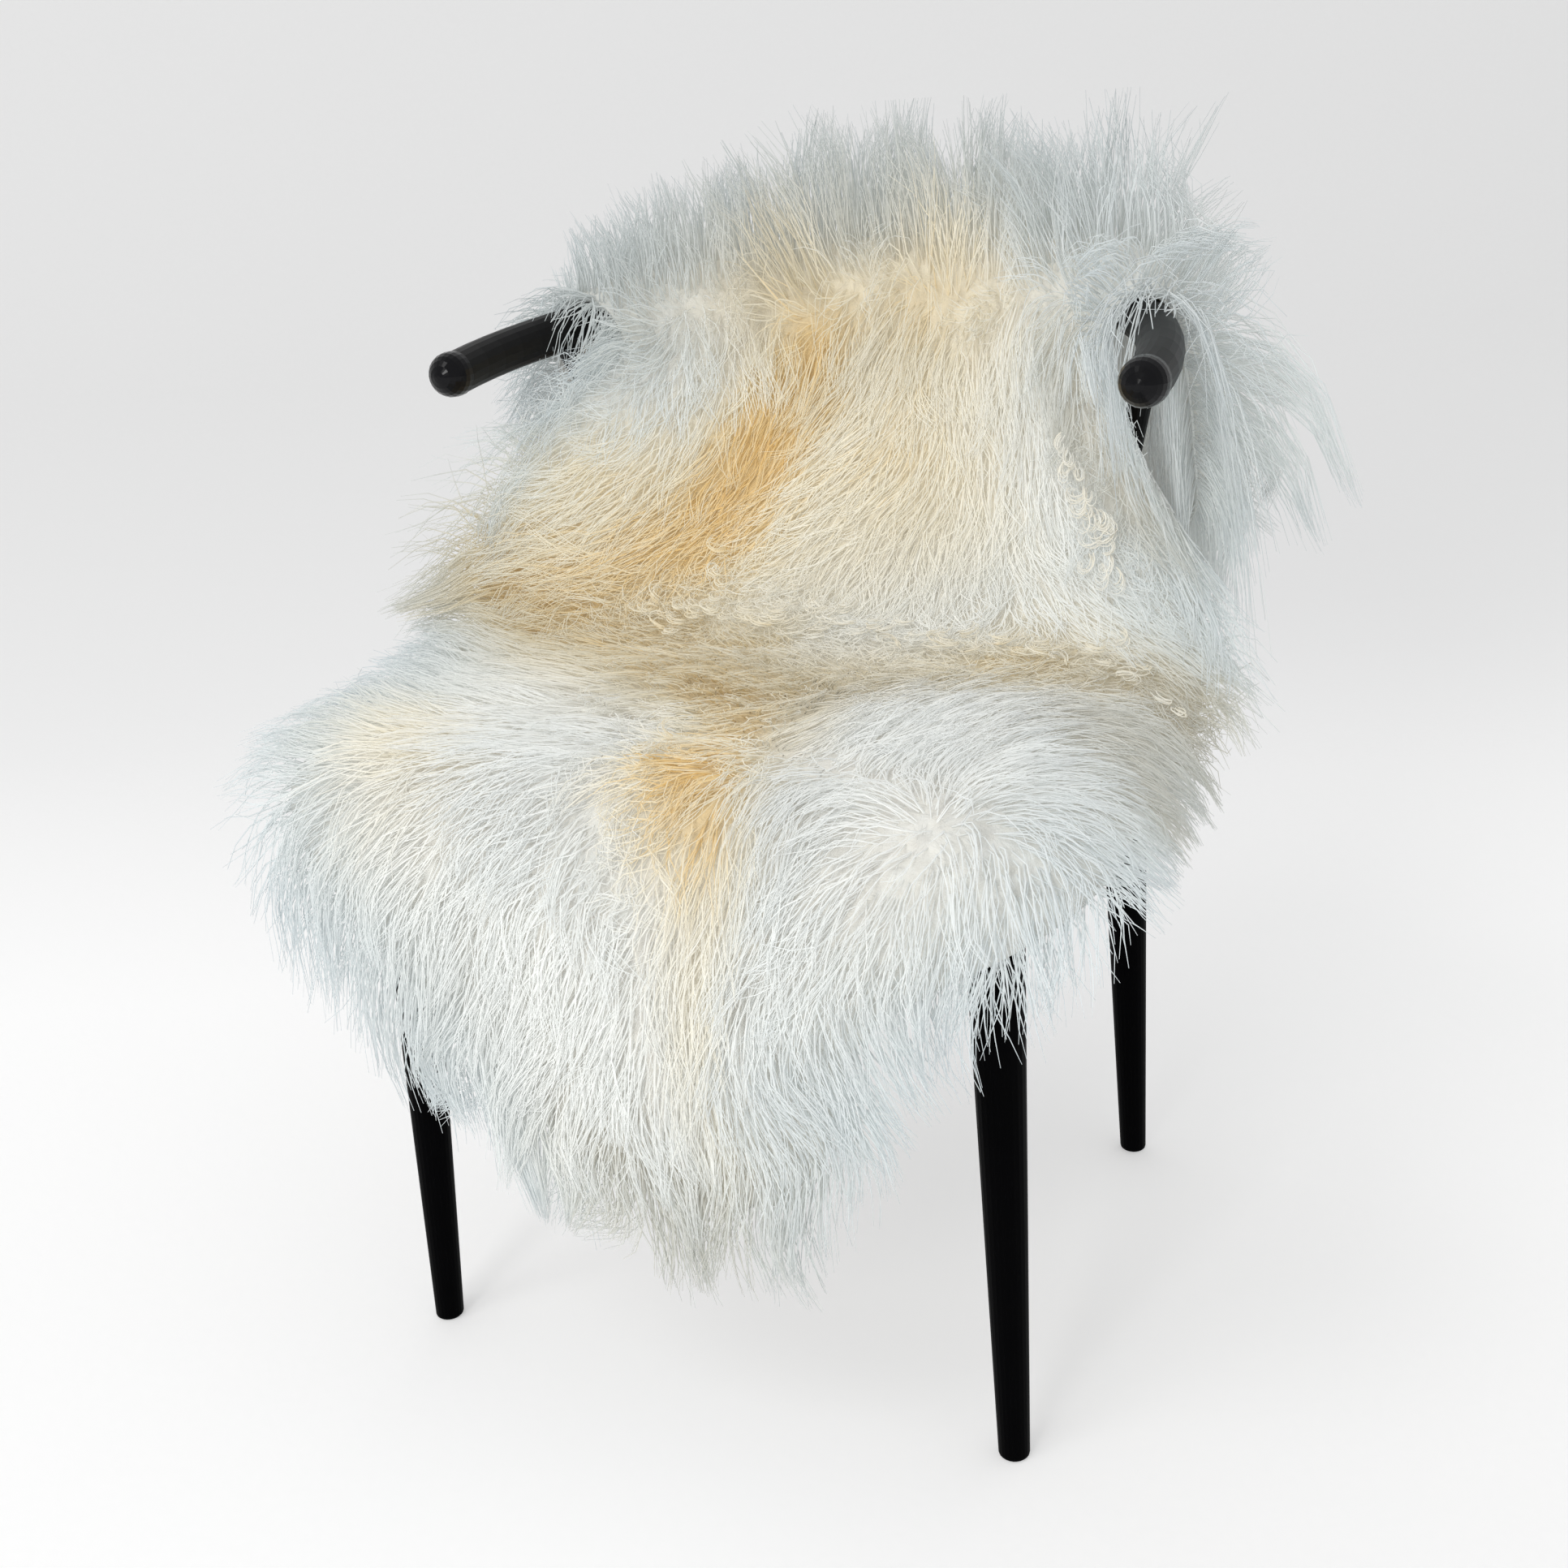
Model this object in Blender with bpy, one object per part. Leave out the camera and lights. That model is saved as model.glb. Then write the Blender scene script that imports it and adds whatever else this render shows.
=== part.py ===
"""Long-haired sheepskin rug draped over a plain black dining chair.

Metres, +Z up, the chair faces -Y and stands on z = 0. The skin starts as a tip hanging in
front of the seat, lies over the seat, climbs the inside of the back rail, turns over it and
ends in a flap behind. The fleece is one lumpy slab whose underside is the skin, with wool
locks in narrow strips round its rim.
"""
import math

import bmesh
import bpy
import numpy as np

# ---------------------------------------------------------------- driving dimensions
CENTRING = (-0.019, -0.024)      # moves the whole so that its footprint is centred on x = y = 0
TOUCH_GAP = 0.0003               # gap kept where two pieces meet

SEAT_TOP = 0.470
SEAT_BOTTOM = 0.425
SEAT_FRONT, SEAT_REAR = -0.225, 0.240
SEAT_HALF_FRONT, SEAT_HALF_REAR = 0.245, 0.215
SEAT_CORNER = 0.055
SEAT_EDGE_ROUND = 0.016
SEAT_LOWER_ROUND = 0.006

LEG_FOOT_RADIUS, LEG_TOP_RADIUS = 0.011, 0.020
FOOT_EDGE_ROUND = 0.003
FRONT_FOOT, FRONT_LEG_TOP = (0.234, -0.207), (0.224, -0.200)
REAR_FOOT, REAR_LEG_TOP = (0.205, 0.215), (0.200, 0.187)
LEGS = [("front", FRONT_FOOT, FRONT_LEG_TOP), ("rear", REAR_FOOT, REAR_LEG_TOP)]

RAIL_HALF_WIDTH, RAIL_DEPTH = 0.268, 0.280      # half ellipse of the rail's centre line
RAIL_ENDS_Y = -0.005
RAIL_END_HEIGHT, RAIL_RISE = 0.707, 0.038
RAIL_RADIUS = 0.0165
RAIL_SIDES, RAIL_STEPS = 20, 40                  # points round the tube, and steps along it
CAP_RADIUS = 0.0172
CAP_LENGTH = 0.006                               # straight skirt of the ball cap

STRUT_RADIUS = 0.010
STRUT_TOP = (0.240, 0.112, 0.713)
STRUT_SLOPE = (-0.300, 0.420)                    # x and y for each metre down

SKIN_CLEARANCE = 0.0025          # between the skin and the tube it hangs over
RIM_HEIGHT = 0.016               # height of the slab's edge
RIM_SLOPE = 0.070                # the pile rises to its full height over this distance
LUMP_HEIGHT = 0.005
COLUMNS = 25                     # points across the skin

STRIP_DEPTH = 0.006
RIM_GAP = 0.0009                 # between the slab's wall and the strips beside it
STRIP_COUNT = 16
LOCK_LENGTH = 0.050
LOCK_LENGTH_RANGE = (0.75, 1.15)
LOCK_PITCH = 0.014
LOCK_DROOP = 0.55
LOCK_LEAN = 0.08                 # how far a lock leans at random
LOCK_TAPER = 0.62                # width of a lock half way, as a share of its root
NEAR_RAIL, WELL_AWAY = 0.06, 0.11                # locks nearer than this stand up, or droop freely

SOFT_EDGE_ANGLE = 1.2            # the fleece and locks are smooth up to this angle, in radians

# Sections of the skin where it lies free: the skin's middle, its left and its right edge, how
# late it bends towards each edge (2 an even curve, 8 flat until near the edge), the height of
# the wool at the left and right, and the steps to the next section.
FREE_SECTIONS = [
    ("tip",        (.028, -.262, .190), (-.045, -.262, .206), (.090, -.262, .200), (2, 2), .040, .040, 1),
    ("flap low",   (.020, -.265, .222), (-.100, -.265, .248), (.124, -.265, .238), (2, 2), .048, .048, 2),
    ("flap third", (.010, -.267, .278), (-.150, -.266, .302), (.142, -.262, .288), (2, 2), .050, .050, 2),
    ("flap half",  (.005, -.267, .335), (-.195, -.268, .352), (.163, -.262, .340), (2, 2), .050, .050, 2),
    ("flap high",  (.000, -.266, .390), (-.234, -.272, .395), (.222, -.264, .386), (2, 2), .050, .050, 2),
    ("flap root",  (.000, -.263, .435), (-.254, -.275, .430), (.280, -.268, .424), (3, 3), .050, .050, 2),
    ("front edge", (.000, -.250, .466), (-.264, -.268, .460), (.308, -.262, .446), (5, 6), .048, .048, 1),
    ("seat front", (.000, -.215, .473), (-.266, -.237, .477), (.311, -.226, .450), (6, 9), .047, .047, 2),
    ("seat 2",     (.000, -.150, .473), (-.263, -.182, .486), (.306, -.150, .445), (6, 9), .046, .046, 2),
    ("seat 3",     (.000, -.080, .473), (-.260, -.110, .491), (.299, -.080, .438), (6, 9), .046, .046, 2),
    ("seat 4",     (.000, -.010, .474), (-.263, -.050, .505), (.294, -.010, .435), (6, 9), .046, .046, 2),
    ("seat rear",  (.000, .050, .479), (-.272, -.010, .535), (.292, .050, .440), (5, 7), .046, .046, 2),
    ("crease",     (.000, .105, .500), (-.278, .020, .570), (.291, .095, .464), (3.5, 5), .044, .044, 2),
    ("back low",   (.000, .150, .545), (-.272, .048, .610), (.288, .105, .522), (2.6, 3.2), .044, .044, 2),
    ("back half",  (.000, .187, .605), (-.256, .076, .645), (.276, .092, .583), (2.4, 2.6), .044, .048, 2),
    ("back high",  (.000, .222, .665), (-.228, .092, .672), (.243, .086, .640), (2.3, 2.3), .044, .052, 3),
]

# Sections round the rail's tube: the angle round it from its top (degrees, front minus), the
# room left beyond the clearance, how far round the rail's half ellipse the skin reaches to
# the left and right (degrees from its middle), the wool's heights and the steps as above.
RAIL_SECTIONS = [
    ("under rail", -115, .004, -57, 57, .042, .055, 2),
    ("rail front", -65, .000, -59, 59, .040, .075, 3),
    ("rail top", 0, .000, -61, 61, .045, .105, 3),
    ("rail rear", 65, .000, -62, 62, .050, .110, 2),
    ("behind rail", 110, .003, -63, 63, .050, .100, 2),
]

# Sections of the flap behind: how far below the rail's centre line and how far outside it,
# then the reach, the wool's heights and the steps as above.
FLAP_SECTIONS = [
    ("flap top", .050, .027, -64, 64, .055, .090, 2),
    ("flap two", .100, .032, -62, 64, .055, .080, 2),
    ("flap three", .150, .034, -52, 60, .050, .065, 2),
    ("flap end", .187, .034, -34, 46, .045, .050, 0),
]

# Folds of the skin, as soft troughs (minus) and swells (plus) along a line between two places
# on it. A place is given along the skin (0 tip, 1 end of the flap) and across it (-1 left,
# 1 right).
FOLD_SCALE = (1.19, 0.29)        # metres for a full step along the skin, and for half its width
FOLDS = [
    # name               from along, across  to along, across  width  height
    ("valley of back",   (0.722, -0.16),     (0.640, -0.44),   0.045, -0.016),
    ("right swell",      (0.720, 0.35),      (0.640, 0.62),    0.090, 0.012),
    ("left swell",       (0.690, -0.72),     (0.640, -0.85),   0.060, 0.010),
    ("middle of flap",   (0.080, 0.10),      (0.200, 0.05),    0.070, 0.008),
    ("dent of flap",     (0.100, -0.50),     (0.180, -0.45),   0.050, -0.007),
]

# Slow swells of the wool itself: waves along and across the skin, start of each wave, share.
LUMP_WAVES = [
    (9.0, 2.3, 0.4, 0.50),
    (-6.0, 4.1, 2.1, 0.40),
    (14.0, -3.2, 4.4, 0.35),
    (4.0, 6.5, 5.3, 0.30),
]

# ---------------------------------------------------------------- small tools
MATERIALS = {
    "black metal": ((0.012, 0.012, 0.013), 0.35, 0.6),
    "glossy cap": ((0.010, 0.010, 0.012), 0.12, 0.2),
    "black seat cover": ((0.020, 0.019, 0.018), 0.55, 0.0),
    "ivory wool": ((0.860, 0.820, 0.700), 0.90, 0.0),
    "white lock wool": ((0.880, 0.870, 0.820), 0.90, 0.0),
}


def finish_of(name, node):
    """A material of the node's own, from the table of finishes."""
    colour, roughness, metallic = MATERIALS[name]
    material = bpy.data.materials.new(f"{name} {node}")
    material.use_nodes = True
    shader = material.node_tree.nodes["Principled BSDF"]
    shader.inputs["Base Color"].default_value = (*colour, 1.0)
    shader.inputs["Roughness"].default_value = roughness
    shader.inputs["Metallic"].default_value = metallic
    return material


def add_object(node, points, faces, finish, sharp_angle=0.7):
    """One named solid from its points and faces, smooth but for its sharp edges."""
    mesh = bpy.data.meshes.new(node)
    moved = [(p[0] + CENTRING[0], p[1] + CENTRING[1], p[2]) for p in points]
    mesh.from_pydata(moved, [], faces)
    work = bmesh.new()
    work.from_mesh(mesh)
    bmesh.ops.recalc_face_normals(work, faces=work.faces)
    if work.calc_volume(signed=True) < 0:
        bmesh.ops.reverse_faces(work, faces=work.faces)
    work.to_mesh(mesh)
    work.free()
    mesh.shade_smooth()
    mesh.set_sharp_from_angle(angle=sharp_angle)
    mesh.materials.append(finish_of(finish, node))
    solid = bpy.data.objects.new(node, mesh)
    bpy.context.collection.objects.link(solid)
    return solid


def loft(rings):
    """Points and faces of a closed body through rings of equal length, capped at both ends."""
    count = len(rings[0])
    points = [point for ring in rings for point in ring]
    faces = [tuple(range(count - 1, -1, -1))]
    for level in range(len(rings) - 1):
        first = level * count
        for i in range(count):
            j = (i + 1) % count
            faces.append((first + i, first + j, first + count + j, first + count + i))
    last = (len(rings) - 1) * count
    faces.append(tuple(range(last, last + count)))
    return points, faces


def unit(vector):
    vector = np.asarray(vector, float)
    return vector / np.linalg.norm(vector, axis=-1, keepdims=True)


# ---------------------------------------------------------------- the chair
def add_leg(node, foot, top):
    """A round leg that widens upwards, its foot rounded at the edge and flat on the floor."""
    sides = 24
    height = SEAT_BOTTOM - TOUCH_GAP
    levels = [(0.0, LEG_FOOT_RADIUS - FOOT_EDGE_ROUND)]
    for step in (1, 2, 3):
        turn = step * math.pi / 6
        rise = FOOT_EDGE_ROUND * (1 - math.cos(turn))
        levels.append((rise, LEG_FOOT_RADIUS - FOOT_EDGE_ROUND * (1 - math.sin(turn))))
    levels.append((height, LEG_TOP_RADIUS))
    rings = []
    for z, radius in levels:
        share = z / height
        x = foot[0] + (top[0] - foot[0]) * share
        y = foot[1] + (top[1] - foot[1]) * share
        turns = [2 * math.pi * i / sides for i in range(sides)]
        rings.append([(x + radius * math.cos(a), y + radius * math.sin(a), z) for a in turns])
    add_object(node, *loft(rings), "black metal")


def add_legs():
    for side, sign in (("left", -1), ("right", 1)):
        for place, foot, top in LEGS:
            add_leg(f"leg_{place}_{side}", (sign * foot[0], foot[1]), (sign * top[0], top[1]))


def seat_outline(inset):
    """The seat's outline, narrower to the rear, with round corners."""
    radius = SEAT_CORNER - inset
    corners = [
        (SEAT_HALF_REAR - SEAT_CORNER, SEAT_REAR - SEAT_CORNER, 0),
        (-SEAT_HALF_REAR + SEAT_CORNER, SEAT_REAR - SEAT_CORNER, 90),
        (-SEAT_HALF_FRONT + SEAT_CORNER, SEAT_FRONT + SEAT_CORNER, 180),
        (SEAT_HALF_FRONT - SEAT_CORNER, SEAT_FRONT + SEAT_CORNER, 270),
    ]
    steps = 6
    outline = []
    for x, y, start in corners:
        for i in range(steps + 1):
            turn = math.radians(start + 90 * i / steps)
            outline.append((x + radius * math.cos(turn), y + radius * math.sin(turn)))
    return outline


def add_seat():
    """The padded seat, flat on top, round at its upper edge."""
    levels = [(SEAT_BOTTOM, SEAT_LOWER_ROUND), (SEAT_BOTTOM + SEAT_LOWER_ROUND, 0.0)]
    steps = 4
    for i in range(steps + 1):
        turn = math.pi / 2 * i / steps
        z = SEAT_TOP - SEAT_EDGE_ROUND * (1 - math.sin(turn))
        levels.append((z, SEAT_EDGE_ROUND * (1 - math.cos(turn))))
    rings = [[(x, y, z) for x, y in seat_outline(inset)] for z, inset in levels]
    add_object("seat", *loft(rings), "black seat cover")


def rail_point(turn):
    """A point of the rail's centre line: 0 at the back's middle, +-90 degrees at its ends."""
    x = RAIL_HALF_WIDTH * math.sin(turn)
    y = RAIL_ENDS_Y + RAIL_DEPTH * math.cos(turn)
    return np.array([x, y, RAIL_END_HEIGHT + RAIL_RISE * math.cos(turn)])


def rail_outward(turn):
    """The level direction away from the inside of the rail."""
    return unit([math.sin(turn) / RAIL_HALF_WIDTH, math.cos(turn) / RAIL_DEPTH, 0.0])


def rail_rings(radius, sides, steps):
    rings = []
    for i in range(steps + 1):
        turn = math.pi * (i / steps - 0.5)
        centre, out = rail_point(turn), rail_outward(turn)
        angles = [2 * math.pi * k / sides for k in range(sides)]
        up = np.array([0, 0, radius])
        rings.append([tuple(centre + out * (radius * math.cos(a)) + up * math.sin(a)) for a in angles])
    return rings


def add_cap(node, sign):
    """The ball-shaped end of the rail: a short skirt and a half ball, pointing forwards."""
    sides = 24
    end = rail_point(sign * math.pi / 2)
    levels = [(0.0, CAP_RADIUS - 0.001), (0.001, CAP_RADIUS)]
    steps = 6
    for i in range(steps):
        turn = math.pi / 2 * i / steps
        levels.append((CAP_LENGTH + CAP_RADIUS * math.sin(turn), CAP_RADIUS * math.cos(turn)))
    levels.append((CAP_LENGTH + CAP_RADIUS, 0.0015))
    rings = []
    for ahead, radius in levels:
        y = end[1] - TOUCH_GAP - ahead
        turns = [2 * math.pi * k / sides for k in range(sides)]
        rings.append([(end[0] + radius * math.cos(a), y, end[2] + radius * math.sin(a)) for a in turns])
    add_object(node, *loft(rings), "glossy cap")


def add_rail():
    add_object("back_rail", *loft(rail_rings(RAIL_RADIUS, RAIL_SIDES, RAIL_STEPS)), "black metal")
    add_cap("rail_cap_left", -1)
    add_cap("rail_cap_right", 1)


def add_struts():
    """Two slanting struts from the seat to the rail, their tops hollowed to fit its tube."""
    sides = 20
    radius = STRUT_RADIUS
    cutter_rings = rail_rings(RAIL_RADIUS + TOUCH_GAP, RAIL_SIDES, RAIL_STEPS)
    cutter = add_object("rail_cutter", *loft(cutter_rings), "black metal")
    cutter.hide_render = True
    cutter.display_type = "WIRE"
    for side, sign in (("left", -1), ("right", 1)):
        rings = []
        for z in (SEAT_TOP + TOUCH_GAP, STRUT_TOP[2]):
            down = STRUT_TOP[2] - z
            x = sign * (STRUT_TOP[0] + STRUT_SLOPE[0] * down)
            y = STRUT_TOP[1] + STRUT_SLOPE[1] * down
            turns = [2 * math.pi * k / sides for k in range(sides)]
            rings.append([(x + radius * math.cos(a), y + radius * math.sin(a), z) for a in turns])
        strut = add_object(f"strut_{side}", *loft(rings), "black metal")
        cut = strut.modifiers.new("fit to rail", "BOOLEAN")
        cut.operation = "DIFFERENCE"
        cut.object = cutter


# ---------------------------------------------------------------- the skin's drape
def free_section(middle, left, right, bends, across):
    """Points across the skin where it lies free, from its left edge to its right."""
    middle, left, right = (np.array(p) for p in (middle, left, right))
    reach = np.abs(across)
    on_left = across < 0
    side = np.where(on_left[:, None], left - middle, right - middle)
    bend = np.where(on_left, *bends)
    x = middle[0] + side[:, 0] * reach
    y = middle[1] + side[:, 1] * reach ** np.minimum(bend, 2.4)
    z = middle[2] + side[:, 2] * reach ** bend
    return np.stack([x, y, z], axis=1)


def rail_section(outward, upward, left, right, across):
    """Points across the skin where it follows the rail, at an offset from its centre line."""
    turns = np.radians(np.where(across < 0, -left, right) * across)
    lift = np.array([0, 0, upward])
    return np.array([rail_point(a) + rail_outward(a) * outward + lift for a in turns])


def smooth_curve(knots, values, places):
    """Natural cubic curve through the values at the knots, read at the places."""
    gaps = np.diff(knots)
    slopes = np.diff(values, axis=0) / gaps.reshape((-1,) + (1,) * (values.ndim - 1))
    count = len(knots)
    matrix = np.eye(count)
    right = np.zeros_like(values)
    for i in range(1, count - 1):
        matrix[i, i - 1:i + 2] = (gaps[i - 1], 2 * (gaps[i - 1] + gaps[i]), gaps[i])
        right[i] = 6 * (slopes[i] - slopes[i - 1])
    curved = np.linalg.solve(matrix, right.reshape(count, -1)).reshape(values.shape)
    span = np.clip(np.searchsorted(knots, places) - 1, 0, count - 2)
    shape = (-1,) + (1,) * (values.ndim - 1)
    gap = gaps[span].reshape(shape)
    a = (knots[span + 1] - places).reshape(shape) / gap
    b = 1 - a
    bow = ((a ** 3 - a) * curved[span] + (b ** 3 - b) * curved[span + 1]) * gap ** 2 / 6
    return a * values[span] + b * values[span + 1] + bow


def skin_sections(across):
    """Every section from the tip to the flap's end."""
    sections = []
    for _, middle, left, right, bends, *_ in FREE_SECTIONS:
        sections.append(free_section(middle, left, right, bends, across))
    for _, angle, room, left, right, *_ in RAIL_SECTIONS:
        radius = RAIL_RADIUS + SKIN_CLEARANCE + room
        turn = math.radians(angle)
        sections.append(rail_section(radius * math.sin(turn), radius * math.cos(turn), left, right, across))
    for _, drop, out, left, right, *_ in FLAP_SECTIONS:
        sections.append(rail_section(out, -drop, left, right, across))
    return np.array(sections)


def skin_grid():
    """The skin's underside as rows of points, the wool's height there, each row's place along."""
    sections = skin_sections(np.linspace(-1, 1, COLUMNS))
    middle = sections[:, COLUMNS // 2]
    run = np.concatenate([[0], np.cumsum(np.linalg.norm(np.diff(middle, axis=0), axis=1))])
    rows = FREE_SECTIONS + RAIL_SECTIONS + FLAP_SECTIONS
    wool = np.array([row[-3:-1] for row in rows])
    places = [run[-1]]
    for i in range(len(rows) - 2, -1, -1):
        places += list(np.linspace(run[i + 1], run[i], rows[i][-1] + 1)[1:])
    places = np.array(places[::-1])
    left, right = (np.interp(places, run, wool[:, k])[:, None] for k in (0, 1))
    share = np.linspace(0, 1, COLUMNS)
    return smooth_curve(run, sections, places), left + (right - left) * share, places / run[-1]


def grid_normals(grid, rounds=5):
    """Directions away from the underside, evened out over their neighbours."""
    field = unit(np.cross(np.gradient(grid, axis=1), np.gradient(grid, axis=0)))
    for _ in range(rounds):
        wide = np.pad(field, ((1, 1), (1, 1), (0, 0)), mode="edge")
        beside = wide[:-2, 1:-1] + wide[2:, 1:-1] + wide[1:-1, :-2] + wide[1:-1, 2:]
        field = unit(beside + 4 * field)
    return field


def rim_distance(grid):
    """How far each point lies from the skin's nearest edge, along the rows and columns."""
    rows, columns = grid.shape[:2]
    across = np.linalg.norm(np.diff(grid, axis=1), axis=2)
    along = np.linalg.norm(np.diff(grid, axis=0), axis=2)
    from_left = np.concatenate([np.zeros((rows, 1)), np.cumsum(across, axis=1)], axis=1)
    from_tip = np.concatenate([np.zeros((1, columns)), np.cumsum(along, axis=0)], axis=0)
    sides = np.minimum(from_left, from_left[:, -1:] - from_left)
    ends = np.minimum(from_tip, from_tip[-1:] - from_tip)
    return np.minimum(sides, ends)


def fold_heights(share_along):
    """Height of the folds at each point of the grid."""
    along, across = np.meshgrid(share_along, np.linspace(-1, 1, COLUMNS), indexing="ij")
    scale = np.array(FOLD_SCALE)
    place = np.stack([along, across], axis=-1) * scale
    total = np.zeros(along.shape)
    for _, start, end, width, height in FOLDS:
        a, b = np.array(start) * scale, np.array(end) * scale
        share = np.clip(((place - a) @ (b - a)) / ((b - a) @ (b - a)), 0, 1)
        away = np.linalg.norm(place - a - share[..., None] * (b - a), axis=-1)
        total += height * np.exp(-(away / width) ** 2)
    return total


def lump_heights(share_along):
    along, across = np.meshgrid(share_along, np.linspace(-1, 1, COLUMNS), indexing="ij")
    total = np.zeros(along.shape)
    for along_waves, across_waves, start, share in LUMP_WAVES:
        total += share * np.sin(math.pi * (along_waves * along + across_waves * across) + start)
    return LUMP_HEIGHT * total


def fleece_shape():
    """Underside, outward directions and top of the slab."""
    grid, wool, along = skin_grid()
    inside = np.clip(rim_distance(grid) / RIM_SLOPE, 0, 1)
    grid = grid + grid_normals(grid) * (fold_heights(along) * inside)[..., None]
    normals = grid_normals(grid)
    height = RIM_HEIGHT + (wool - RIM_HEIGHT + lump_heights(along)) * inside ** 0.6
    return grid, normals, grid + normals * height[..., None]


def rim_loop(grid):
    """Row and column of each rim point, once round the skin."""
    last_row, last_column = grid.shape[0] - 1, grid.shape[1] - 1
    loop = [(0, j) for j in range(last_column)]
    loop += [(i, last_column) for i in range(last_row)]
    loop += [(last_row, j) for j in range(last_column, 0, -1)]
    loop += [(i, 0) for i in range(last_row, 0, -1)]
    return loop


def add_fleece(under, top):
    """One closed slab: underside, top, and the wall round the rim that joins them."""
    points = [tuple(p) for p in under.reshape(-1, 3)] + [tuple(p) for p in top.reshape(-1, 3)]
    rows = len(under)
    over = rows * COLUMNS
    faces = []
    for i in range(rows - 1):
        for j in range(COLUMNS - 1):
            a = i * COLUMNS + j
            b, c, d = a + 1, a + COLUMNS + 1, a + COLUMNS
            faces += [(a, b, c), (a, c, d)]
            faces += [(over + a, over + c, over + b), (over + a, over + d, over + c)]
    loop = [i * COLUMNS + j for i, j in rim_loop(under)]
    for a, b in zip(loop, loop[1:] + loop[:1]):
        faces += [(a, over + a, over + b), (a, over + b, b)]
    add_object("fleece", points, faces, "ivory wool", SOFT_EDGE_ANGLE)


# ---------------------------------------------------------------- locks round the rim
def rim_frames(under, normals):
    """Points of the rim with their outward and upward directions."""
    loop = rim_loop(under)
    last_row = len(under) - 1
    points = np.array([under[i, j] for i, j in loop])
    ups = np.array([normals[i, j] for i, j in loop])
    tangent = unit(np.roll(points, -1, axis=0) - np.roll(points, 1, axis=0))
    outward = unit(np.cross(tangent, ups))
    centre_row = np.array([under[i, COLUMNS // 2] for i, _ in loop])
    flip = np.sum(outward * (points - centre_row), axis=1)
    at_ends = np.array([i in (0, last_row) for i, _ in loop])
    inner = np.array([under[min(max(i, 1), last_row - 1), j] for i, j in loop])
    flip = np.where(at_ends, np.sum(outward * (points - inner), axis=1), flip)
    outward *= np.sign(flip)[:, None]
    return points, outward, ups


def near_rail(point):
    """1 beside the rail, 0 well away from it."""
    turns = np.linspace(-math.pi / 2, math.pi / 2, 60)
    gap = min(np.linalg.norm(rail_point(a) - point) for a in turns)
    return float(np.clip((WELL_AWAY - gap) / (WELL_AWAY - NEAR_RAIL), 0, 1))


def lock_rings(corners, outward, up, length, rng):
    """Ring and tip of one lock that grows from four corners of the strip's outer face."""
    corners = np.array(corners)
    centre = corners.mean(axis=0)
    beside_rail = near_rail(centre)
    droop = LOCK_DROOP * (1 - beside_rail)
    lean = np.array([rng.uniform(-LOCK_LEAN, LOCK_LEAN), rng.uniform(-LOCK_LEAN, LOCK_LEAN), -droop])
    start = unit(outward + 0.45 * lean + 0.10 * up)
    final = unit(outward + lean + (0.15 + 0.35 * beside_rail) * up)
    middle = centre + start * (0.5 * length)
    ring = middle + (corners - centre) * LOCK_TAPER
    return ring, middle + final * (0.5 * length)


def add_strip(node, points, outward, ups, rng):
    """A narrow strip beside the rim, with a lock on every step of its outer face."""
    rows = []
    for point, out, up in zip(points, outward, ups):
        low = point + out * RIM_GAP + up * 0.001
        high = low + up * (RIM_HEIGHT - 0.002)
        away = out * STRIP_DEPTH
        rows.append([low, low + away + up * 0.001, high + away - up * 0.002, high])
    verts = [tuple(p) for row in rows for p in row]
    last = len(rows) - 1
    last_lock = points[0] - 1.0
    faces = [(3, 2, 1, 0), tuple(last * 4 + k for k in range(4))]
    for i in range(last):
        a, b = i * 4, i * 4 + 4
        faces += [(a, a + 1, b + 1, b), (a + 2, a + 3, b + 3, b + 2), (a, a + 3, b + 3), (a, b + 3, b)]
        outer = [a + 1, a + 2, b + 2, b + 1]
        root = (points[i] + points[i + 1]) / 2
        beside_rail = near_rail(root)
        if np.linalg.norm(root - last_lock) < (0.8 + beside_rail) * LOCK_PITCH:
            faces.append(tuple(outer))
            continue
        last_lock = root
        out = unit(outward[i] + outward[i + 1])
        length = LOCK_LENGTH * rng.uniform(*LOCK_LENGTH_RANGE) * (1 - 0.3 * beside_rail)
        ring, tip = lock_rings([verts[k] for k in outer], out, ups[i], length, rng)
        first = len(verts)
        verts += [tuple(p) for p in ring] + [tuple(tip)]
        for k in range(4):
            m = (k + 1) % 4
            faces += [(outer[k], outer[m], first + m, first + k), (first + k, first + m, first + 4)]
    add_object(node, verts, faces, "white lock wool", SOFT_EDGE_ANGLE)


def add_locks(under, normals):
    """Strips all the way round the rim, a short gap between them, each split into steps."""
    rng = np.random.default_rng(11)
    points, outward, ups = rim_frames(under, normals)
    count = len(points)
    bounds = np.linspace(0, count, STRIP_COUNT + 1).astype(int)
    for number, (start, end) in enumerate(zip(bounds[:-1], bounds[1:]), 1):
        chosen = [k % count for k in range(start, end + 1)]
        line, outs, tops = [], [], []
        for a, b in zip(chosen[:-1], chosen[1:]):
            span = np.linalg.norm(points[b] - points[a])
            pieces = max(1, round(span / LOCK_PITCH))
            first_share = 0.03 if a == chosen[0] else 0.0
            shares = np.linspace(first_share, 1, pieces + 1)[:-1]
            for share in shares:
                line.append(points[a] * (1 - share) + points[b] * share)
                outs.append(unit(outward[a] * (1 - share) + outward[b] * share))
                tops.append(unit(ups[a] * (1 - share) + ups[b] * share))
        before, final = chosen[-2], chosen[-1]
        line.append(points[before] * 0.03 + points[final] * 0.97)
        outs.append(outward[final])
        tops.append(ups[final])
        add_strip(f"rim_locks_{number:02d}", line, outs, tops, rng)


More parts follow.
